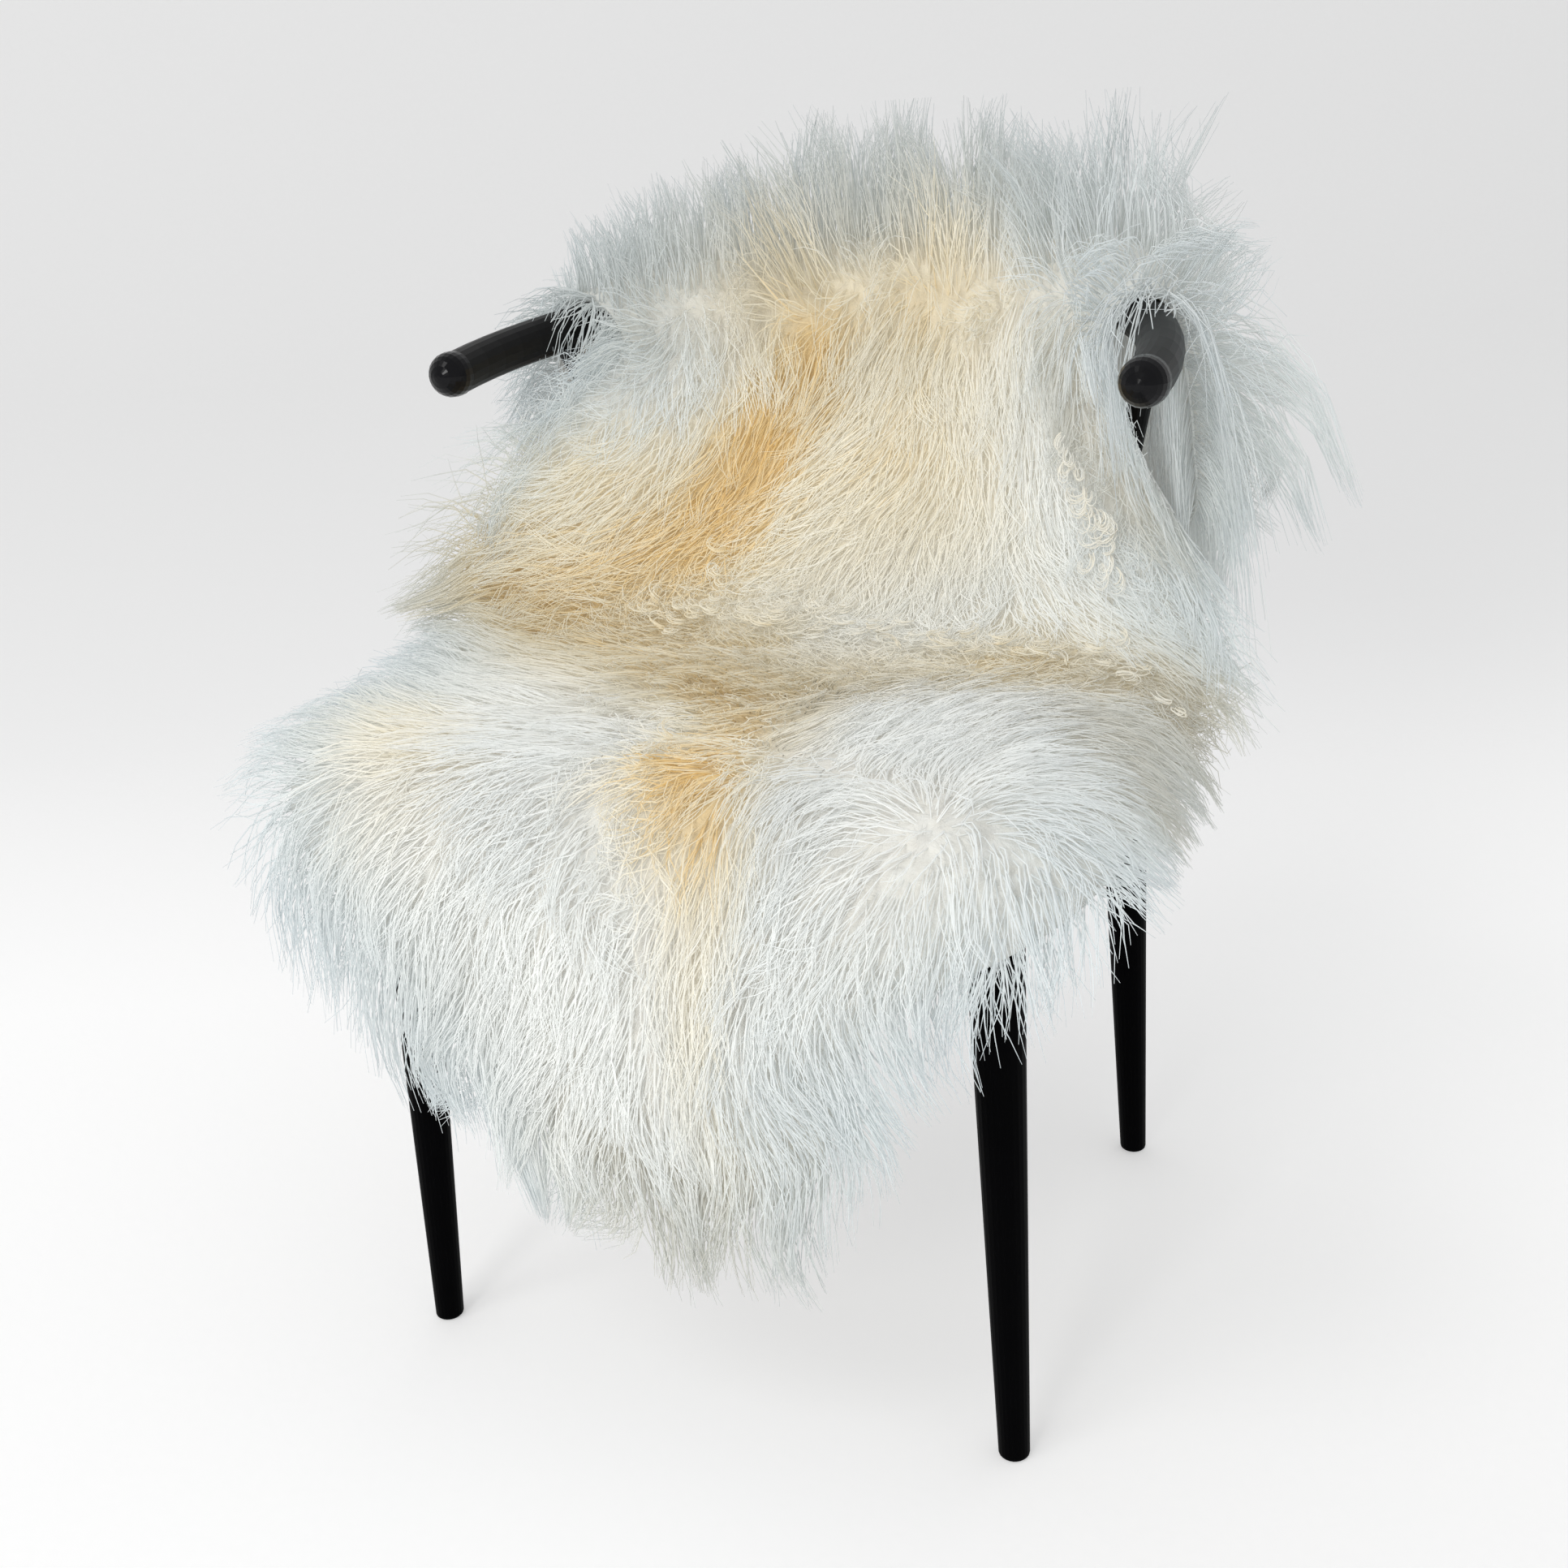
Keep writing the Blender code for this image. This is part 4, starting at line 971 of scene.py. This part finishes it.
def wool_colour(sheet, along, tone):
    """Ivory wool, honey where it is stained, cool white towards the rim and the tips, and painted shade:
    cool grey on the rim and the crest, darker towards the roots and in the table of shaded places.
    """
    honey, rim, dull = sheet.fact("honey"), sheet.fact("near_rim"), sheet.fact("dull")
    cloudy = sheet.noise(scale=9.0, detail=2.0)
    fading = 1.15 - 0.45 * along - 0.7 * along * rim
    stained = (honey * fading + (cloudy - 0.5) * 0.25 * honey).clamped()
    warm = sheet.mixed(IVORY, HONEY, stained)
    warm = sheet.mixed(warm, AMBER, ((stained - 0.50) * 1.8).clamped())
    # cool white towards the rim, the upright crest and the tips; this white is darker than the ivory, so
    # it is partly the wool's own cool colour and partly painted shade
    cool = (rim * 0.60 + along * 0.20 - stained * 0.9 + (cloudy - 0.5) * 0.5).clamped()
    pale = sheet.mixed(warm, COOL_WHITE_AND_SHADE, cool)
    # painted shade: the rim and the upright crest turn cool grey, more on fibres of low tone
    pale = sheet.mixed(pale, COOL_SHADE, cool * (1.0 - tone) * 0.6)
    # painted shade: darker towards the roots, where shade falls deep in the wool, and a little darker on
    # fibres of low random tone
    shade = (1.0 - along) ** 1.5 * 0.07 + (1.0 - tone) * 0.05
    # painted shade: the wool is mixed towards a dark greyish tan where the table of shaded places marks it
    pale = sheet.mixed(pale, PAINTED_SHADE, dull.clamped())
    return sheet.mixed(pale, ROOT_SHADE, shade.clamped())


def wool_fibre():
    def paint(sheet):
        along, tone = sheet.fact("along_fibre"), sheet.fact("tone")
        base = wool_colour(sheet, along, tone)
        # painted light: the fibres glow with their own colour
        return {"Base Color": base, "Roughness": 0.58 + tone * 0.12, "Emission Color": base}

    return finish("wool fibre", paint, Sheen_Weight=0.35, Sheen_Roughness=0.4,
                  Specular_IOR_Level=0.35, Emission_Strength=WOOL_GLOW)


def under_wool():
    def paint(sheet):
        tuft = sheet.noise(scale=95.0, detail=4.0, roughness=0.6)
        base = wool_colour(sheet, tuft * 0.3, tuft)
        # painted shade: the under-wool is darkened, as it lies in the shade under the fibres
        base = sheet.mixed(base, ROOT_SHADE, 0.22 + (0.5 - tuft) * 0.4)
        height = sheet.noise(scale=60.0, detail=5.0, roughness=0.65, distortion=1.5)
        # painted light: the under-wool glows with its own colour too
        return {"Base Color": base, "Roughness": 0.75 + tuft * 0.1, "Emission Color": base,
                "Normal": sheet.bump(height, strength=0.8, distance=0.006)}

    return finish("under-wool", paint, Sheen_Weight=0.3, Emission_Strength=WOOL_GLOW)


def suede():
    def paint(sheet):
        mottle = sheet.noise(scale=14.0, detail=4.0, roughness=0.6)
        nap = sheet.noise(scale=420.0)
        creases = sheet.noise(scale=38.0, detail=5.0, roughness=0.7, distortion=0.8)
        base = sheet.mixed(HIDE_TAN, HIDE_BROWN, mottle)
        base = sheet.mixed(base, IVORY, (sheet.fact("near_rim") ** 6 * 1.4).clamped())
        height = nap * 0.25 + creases
        return {"Base Color": base, "Roughness": 0.82 + nap * 0.1,
                "Normal": sheet.bump(height, strength=0.5, distance=0.0015)}

    return finish("suede hide", paint)


def satin_black(name, **constants):
    def paint(sheet):
        grain = sheet.noise(scale=900.0, detail=2.0)
        cloud = sheet.noise(scale=18.0)
        base = sheet.mixed(SATIN_BLACK, SATIN_CLOUD, cloud)
        return {"Base Color": base, "Roughness": 0.34 + cloud * 0.14,
                "Normal": sheet.bump(grain, strength=0.08, distance=0.0004)}

    return finish(name, paint, **constants)


def glossy_black():
    def paint(sheet):
        cloud = sheet.noise(scale=60.0)
        base = sheet.mixed(GLOSS_BLACK, GLOSS_CLOUD, cloud)
        return {"Base Color": base, "Roughness": 0.13 + cloud * 0.06}

    return finish("glossy black cap", paint, Specular_IOR_Level=0.25, IOR=1.4)


def seat_cover():
    def paint(sheet):
        def threads(way):
            settings = {"wave_type": "BANDS", "bands_direction": way}
            sockets = {"Vector": sheet.here(), "Scale": 330.0, "Distortion": 0.4}
            return sheet.node("ShaderNodeTexWave", settings, sockets)["Fac"]

        weave, cross = threads("X"), threads("Y")
        base = sheet.mixed(SEAT_DARK, SEAT_LIGHT, weave * cross)
        return {"Base Color": base, "Roughness": 0.8 + weave * 0.1,
                "Normal": sheet.bump(weave + cross, strength=0.4, distance=0.0006)}

    return finish("woven seat cover", paint, Sheen_Weight=0.2)


# ---------------------------------------------------------------- the fibres' own node tree
TAPER_POWER = 1.6
CELL_LEFT, CELL_WIDTH = 0.15, 0.9                # a fibre's part of its cell on the map
CELL_FOOT, CELL_HEIGHT = 0.06, 0.88
UNEVEN_RIM = 0.85                # how much less evenness the rim's fibres have


def fibre_tree():
    """Turns planned paths into tapered fibres with a cell of their own on the map."""
    tree = bpy.data.node_groups.new("grow wool fibres", "GeometryNodeTree")
    for name, kind in (("Paths", "NodeSocketGeometry"), ("Root radius", "NodeSocketFloat"),
                       ("Tip radius", "NodeSocketFloat"), ("Sides", "NodeSocketInt"),
                       ("Cells across", "NodeSocketFloat"), ("Cells up", "NodeSocketFloat"),
                       ("Evenness", "NodeSocketFloat"), ("Finish", "NodeSocketMaterial")):
        tree.interface.new_socket(name=name, in_out="INPUT", socket_type=kind)
    tree.interface.new_socket(name="Fibres", in_out="OUTPUT", socket_type="NodeSocketGeometry")
    sheet = Sheet(tree)
    given = sheet.node("NodeGroupInput", {}, {})

    def fact(name, kind="FLOAT"):
        settings = {"data_type": kind}
        return sheet.node("GeometryNodeInputNamedAttribute", settings, {"Name": name})["Attribute"]

    curves = sheet.node("GeometryNodeMeshToCurve", {}, {"Mesh": given["Paths"]})["Curve"]
    along = fact("along_fibre")
    wider = given["Root radius"] - given["Tip radius"]
    taper = given["Tip radius"] + wider * (1.0 - along ** TAPER_POWER)
    profile = sheet.node("GeometryNodeCurvePrimitiveCircle", {},
                         {"Resolution": given["Sides"], "Radius": 1.0})["Curve"]
    side = sheet.node("GeometryNodeInputIndex", {}, {})["Index"] / given["Sides"]
    profile = sheet.node("GeometryNodeStoreNamedAttribute", {"data_type": "FLOAT", "domain": "POINT"},
                         {"Geometry": profile, "Name": "side", "Value": side})["Geometry"]
    fibres = sheet.node("GeometryNodeCurveToMesh", {},
                        {"Curve": curves, "Profile Curve": profile, "Scale": taper * fact("size"),
                         "Fill Caps": True})["Mesh"]
    column = (fact("cell_column") + CELL_LEFT + CELL_WIDTH * fact("side")) / given["Cells across"]
    row = (fact("cell_row") + CELL_FOOT + CELL_HEIGHT * along) / given["Cells up"]
    spot = sheet.node("ShaderNodeCombineXYZ", {}, {"X": column, "Y": row})["Vector"]
    mapped = sheet.node("GeometryNodeStoreNamedAttribute", {"data_type": "FLOAT2", "domain": "CORNER"},
                        {"Geometry": fibres, "Name": "OFBake", "Value": spot})["Geometry"]
    # fibres take light much as the fleece under them does, because wool passes light on
    skin_out = fact("skin_out", "FLOAT_VECTOR")
    own = sheet.node("GeometryNodeInputNormal", {}, {})["Normal"]
    share = given["Evenness"] * (1.0 - UNEVEN_RIM * fact("near_rim"))
    even = sheet.node("ShaderNodeMix", {"data_type": "VECTOR"},
                      {"Factor": share, 4: own, 5: skin_out})[1]
    even = sheet.node("ShaderNodeVectorMath", {"operation": "NORMALIZE"}, {0: even})["Vector"]
    smooth = sheet.node("GeometryNodeSetShadeSmooth", {}, {"Geometry": mapped})["Geometry"]
    smooth = sheet.node("GeometryNodeSetMeshNormal", {"mode": "FREE", "domain": "POINT"},
                        {"Mesh": smooth, "Custom Normal": even})["Mesh"]
    real = sheet.node("GeometryNodeRealizeInstances", {}, {"Geometry": smooth})["Geometry"]
    done = sheet.node("GeometryNodeSetMaterial", {}, {"Geometry": real, "Material": given["Finish"]})
    sheet.node("NodeGroupOutput", {}, {"Fibres": done["Geometry"]})
    return tree


def grown(obj, tree, inputs):
    """The plain mesh that the tree makes from the object."""
    modifier = obj.modifiers.new("grow", "NODES")
    modifier.node_group = tree
    for item in tree.interface.items_tree:
        if item.item_type == "SOCKET" and item.in_out == "INPUT" and item.name in inputs:
            modifier[item.identifier] = inputs[item.name]
    graph = bpy.context.evaluated_depsgraph_get()
    mesh = bpy.data.meshes.new_from_object(obj.evaluated_get(graph))
    obj.modifiers.remove(modifier)
    return mesh


def place_object(name, mesh):
    obj = bpy.data.objects.new(name, mesh)
    bpy.context.scene.collection.objects.link(obj)
    return obj


def add_fact(mesh, name, values, kind="FLOAT", field="value"):
    """Stores a value, or a direction, for each point of the mesh."""
    layer = mesh.attributes.new(name, kind, "POINT")
    layer.data.foreach_set(field, values.astype(np.float32).ravel())


def path_mesh(name, paths, facts, out):
    """Fibre paths as open lines of points that carry their facts."""
    count, points = paths.shape[:2]
    mesh = bpy.data.meshes.new(name)
    mesh.vertices.add(count * points)
    mesh.vertices.foreach_set("co", paths.astype(np.float32).ravel())
    first = (np.arange(count) * points)[:, None] + np.arange(points - 1)
    mesh.edges.add(count * (points - 1))
    mesh.edges.foreach_set("vertices", np.stack([first, first + 1], axis=-1).astype(np.int32).ravel())
    for fact, values in facts.items():
        add_fact(mesh, fact, np.repeat(values, points))
    add_fact(mesh, "along_fibre", np.tile(np.linspace(0, 1, points), count))
    add_fact(mesh, "skin_out", np.repeat(out, points, axis=0), "FLOAT_VECTOR", "vector")
    mesh.update()
    return mesh


def add_fibres(name, paths, facts, out, tree, material):
    """One piece of combed wool."""
    count = len(paths)
    cells_across = math.ceil(math.sqrt(count * CELL_SLIMNESS))
    cells_up = math.ceil(count / cells_across)
    row, column = np.divmod(np.arange(count), cells_across)
    facts = {**facts, "cell_column": column, "cell_row": row}
    planned = place_object(name + "_paths", path_mesh(name, paths, facts, out))
    mesh = grown(planned, tree, {
        "Root radius": ROOT_RADIUS, "Tip radius": TIP_RADIUS, "Sides": FIBRE_SIDES,
        "Cells across": float(cells_across), "Cells up": float(cells_up),
        "Evenness": EVENNESS, "Finish": material})
    bpy.data.objects.remove(planned)
    fibres = place_object(name, mesh)
    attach(fibres, "root")
    return fibres


# ---------------------------------------------------------------- hide and under-wool
def slab_mesh(name, low, high):
    """A closed slab between two grids of points."""
    rows, columns = low.shape[:2]
    points = np.concatenate([low.reshape(-1, 3), high.reshape(-1, 3)])
    number = np.arange(rows * columns).reshape(rows, columns)
    a, b, c, d = number[:-1, :-1], number[:-1, 1:], number[1:, 1:], number[1:, :-1]
    shift = rows * columns
    faces = list(zip(a.ravel(), d.ravel(), c.ravel(), b.ravel()))
    faces += list(zip(*(x.ravel() + shift for x in (a, b, c, d))))
    loop = list(number[0, :-1]) + list(number[:-1, -1]) + list(number[-1, :0:-1]) + list(number[:0:-1, 0])
    faces += [(p, q, q + shift, p + shift) for p, q in zip(loop, loop[1:] + loop[:1])]
    mesh = bpy.data.meshes.new(name)
    mesh.from_pydata(points.tolist(), [], [tuple(int(k) for k in face) for face in faces])
    work = bmesh.new()
    work.from_mesh(mesh)
    bmesh.ops.recalc_face_normals(work, faces=work.faces)
    if work.calc_volume(signed=True) < 0:
        bmesh.ops.reverse_faces(work, faces=work.faces)
    work.to_mesh(mesh)
    work.free()
    mesh.shade_smooth()
    return mesh


def add_fields(mesh, every, **fields):
    """Stores fields of the skin on both sides of a slab."""
    for name, field in fields.items():
        add_fact(mesh, name, np.tile(field[every].ravel(), 2))


def inner_points(rows, columns):
    """Evenly spaced points of the skin's grid, which end one step inside its rim."""
    chosen_rows = np.linspace(1, FINE_ROWS - 2, rows).round().astype(int)
    chosen_columns = np.linspace(1, FINE_COLUMNS - 2, columns).round().astype(int)
    return np.ix_(chosen_rows, chosen_columns)


def add_hide(skin):
    """The tanned skin under the wool, a thin draped sheet."""
    every = inner_points(*HIDE_POINTS)
    low, out = skin.under[every], skin.out[every]
    hide = place_object("hide", slab_mesh("hide", low, low + out * HIDE_THICKNESS))
    hide.data.materials.append(suede())
    add_fields(hide.data, every, near_rim=rim_tint(skin.rim))
    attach(hide, "root")
    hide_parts("fleece")


def add_under_wool(skin):
    """The dense wool close to the hide, which shows between the fibres."""
    every = inner_points(*UNDER_WOOL_POINTS)
    low = (skin.under + skin.out * (HIDE_THICKNESS + HIDE_GAP))[every]
    lump = lumps(skin.along * UNDER_LUMPS[0], skin.across * UNDER_LUMPS[1])
    grain = lumps(skin.across * UNDER_GRAINS[1], skin.along * UNDER_GRAINS[0])
    lump = (lump + UNDER_GRAIN_SHARE * grain) * UNDER_LUMP_HEIGHT
    rise = skin.height * UNDER_WOOL_SHARE + lump * np.clip(skin.rim / UNDER_RIM, 0, 1)
    high = (skin.under + skin.out * rise[..., None])[every]
    mesh = slab_mesh("under_wool", low, high)
    add_fields(mesh, every, honey=skin.honey, dull=skin.dull, near_rim=rim_tint(skin.rim))
    wool = place_object("under_wool", mesh)
    mesh.materials.append(under_wool())
    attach(wool, "root")
    return wool


def add_wool(skin):
    """The combed wool, cut into pieces from the front tip to the flap behind."""
    paths, facts, out = plan_fibres(skin)
    tree, material = fibre_tree(), wool_fibre()
    pieces = []
    count = math.ceil(len(paths) / FIBRES_IN_A_PIECE)
    bounds = np.linspace(0, len(paths), count + 1).astype(int)
    for number, (start, end) in enumerate(zip(bounds[:-1], bounds[1:]), 1):
        chosen = {key: values[start:end] for key, values in facts.items()}
        planned = paths[start:end], chosen, out[start:end]
        pieces.append(add_fibres(f"wool_{number}", *planned, tree, material))
    pieces.append(add_fibres("wool_curls", *curled_locks(skin), tree, material))
    locks = [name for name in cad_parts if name.startswith("rim_locks")]
    for piece in pieces:
        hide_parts("fleece", *locks)
    return pieces


# ---------------------------------------------------------------- the chair
def dress_chair():
    """Finishes for the chair's own solids, which keep their shapes."""
    arm = satin_black("satin black arm", Specular_IOR_Level=0.2, IOR=1.45)
    leg = satin_black("satin black leg", Specular_IOR_Level=0.06, IOR=1.2)
    finishes = {"leg": leg, "back_rail": arm, "strut": arm, "rail_cap": glossy_black(),
                "seat": seat_cover()}
    for name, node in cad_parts.items():
        for start, material in finishes.items():
            if name.startswith(start):
                node.data.materials.clear()
                node.data.materials.append(material)


# ---------------------------------------------------------------- floor, light and camera
CAMERA_PLACE = (0.5908 + CENTRING[0], -1.2499 + CENTRING[1], 0.9019)
CAMERA_YAW, CAMERA_PITCH, CAMERA_ROLL = 0.45004, -0.34909, -0.05874
FOCAL_PIXELS, PICTURE_PIXELS = 2372.19, 1932
SENSOR_WIDTH = 36.0
NEAREST_SEEN = 0.05
FLOOR_NEAR, FLOOR_FAR, FLOOR_HALF_WIDTH = -9.0, 2.6, 9.0
BACKDROP_HEIGHT, BACKDROP_BEND, BEND_STEPS = 4.5, 1.2, 12
PAPER_GLOW = 0.53                # the floor's own light, which keeps its shadows soft
LAMP_TARGET, LAMP_TINT = (0.0, 0.0, 0.5), (1.0, 0.995, 0.985)
SKY_TINT, SKY_STRENGTH = (0.99, 0.995, 1.0, 1.0), 0.65


def add_camera():
    """The camera that was solved from the photograph's view."""
    yaw, pitch, roll = CAMERA_YAW, CAMERA_PITCH, CAMERA_ROLL
    ahead = Vector((-math.sin(yaw) * math.cos(pitch), math.cos(yaw) * math.cos(pitch), math.sin(pitch)))
    right = Vector((math.cos(yaw), math.sin(yaw), 0))
    up = right.cross(ahead)
    rolled_right = right * math.cos(roll) + up * math.sin(roll)
    rolled_up = up * math.cos(roll) - right * math.sin(roll)
    data = bpy.data.cameras.new("camera")
    data.sensor_width = SENSOR_WIDTH
    data.lens = SENSOR_WIDTH * FOCAL_PIXELS / PICTURE_PIXELS
    data.clip_start = NEAREST_SEEN
    camera = place_object("camera", data)
    turn = Matrix((rolled_right, rolled_up, -ahead)).transposed().to_4x4()
    camera.matrix_world = Matrix.Translation(CAMERA_PLACE) @ turn
    bpy.context.scene.camera = camera


def add_stage():
    """A pale floor that curves up into a backdrop."""
    def paint(sheet):
        paper = sheet.noise(scale=140.0)
        depth = sheet.node("ShaderNodeSeparateXYZ", {}, {"Vector": sheet.here()})["Y"]
        # painted shade: the paper is darker further back, as if less light reached it there
        far_off = ((depth - 0.5) / 1.8).clamped()
        base = sheet.mixed(PAPER_NEAR, PAPER_FAR, far_off)
        base = sheet.mixed(base, PAPER_GRAIN, paper * 0.2)
        return {"Base Color": base, "Emission Color": base}

    bend, foot = BACKDROP_BEND, FLOOR_FAR - BACKDROP_BEND
    outline = [(FLOOR_NEAR, 0.0), (foot, 0.0)]
    for i in range(1, BEND_STEPS + 1):
        turn = math.pi / 2 * i / BEND_STEPS
        outline.append((foot + bend * math.sin(turn), bend * (1 - math.cos(turn))))
    outline.append((FLOOR_FAR, BACKDROP_HEIGHT))
    points = [(x, y, z) for y, z in outline for x in (-FLOOR_HALF_WIDTH, FLOOR_HALF_WIDTH)]
    faces = [(2 * i, 2 * i + 1, 2 * i + 3, 2 * i + 2) for i in range(len(outline) - 1)]
    mesh = bpy.data.meshes.new("backdrop")
    mesh.from_pydata(points, [], faces)
    mesh.shade_smooth()
    mesh.materials.append(finish("pale paper", paint, Roughness=0.95, Specular_IOR_Level=0.1,
                                 Emission_Strength=PAPER_GLOW))
    stage = place_object("backdrop", mesh)
    stage.rotation_euler = (0, 0, CAMERA_YAW)


def add_lamp(name, place, size, power):
    data = bpy.data.lights.new(name, "AREA")
    data.shape = "DISK"
    data.size = size
    data.energy = power
    data.color = LAMP_TINT
    lamp = place_object(name, data)
    lamp.location = place
    lamp.rotation_euler = (Vector(LAMP_TARGET) - Vector(place)).to_track_quat("-Z", "Y").to_euler()


def add_light():
    world = bpy.data.worlds.new("studio")
    world.use_nodes = True
    background = world.node_tree.nodes["Background"]
    background.inputs["Color"].default_value = SKY_TINT
    background.inputs["Strength"].default_value = SKY_STRENGTH
    bpy.context.scene.world = world
    add_lamp("key", (-2.3, -4.3, 6.6), size=3.2, power=84)
    add_lamp("front", (-0.2, -5.4, 2.7), size=1.6, power=72)
    bpy.context.scene.view_settings.view_transform = "Standard"


skin = Skin()
wool = add_wool(skin)
padding = add_under_wool(skin)
add_hide(skin)
dress_chair()
add_stage()
add_light()
add_camera()
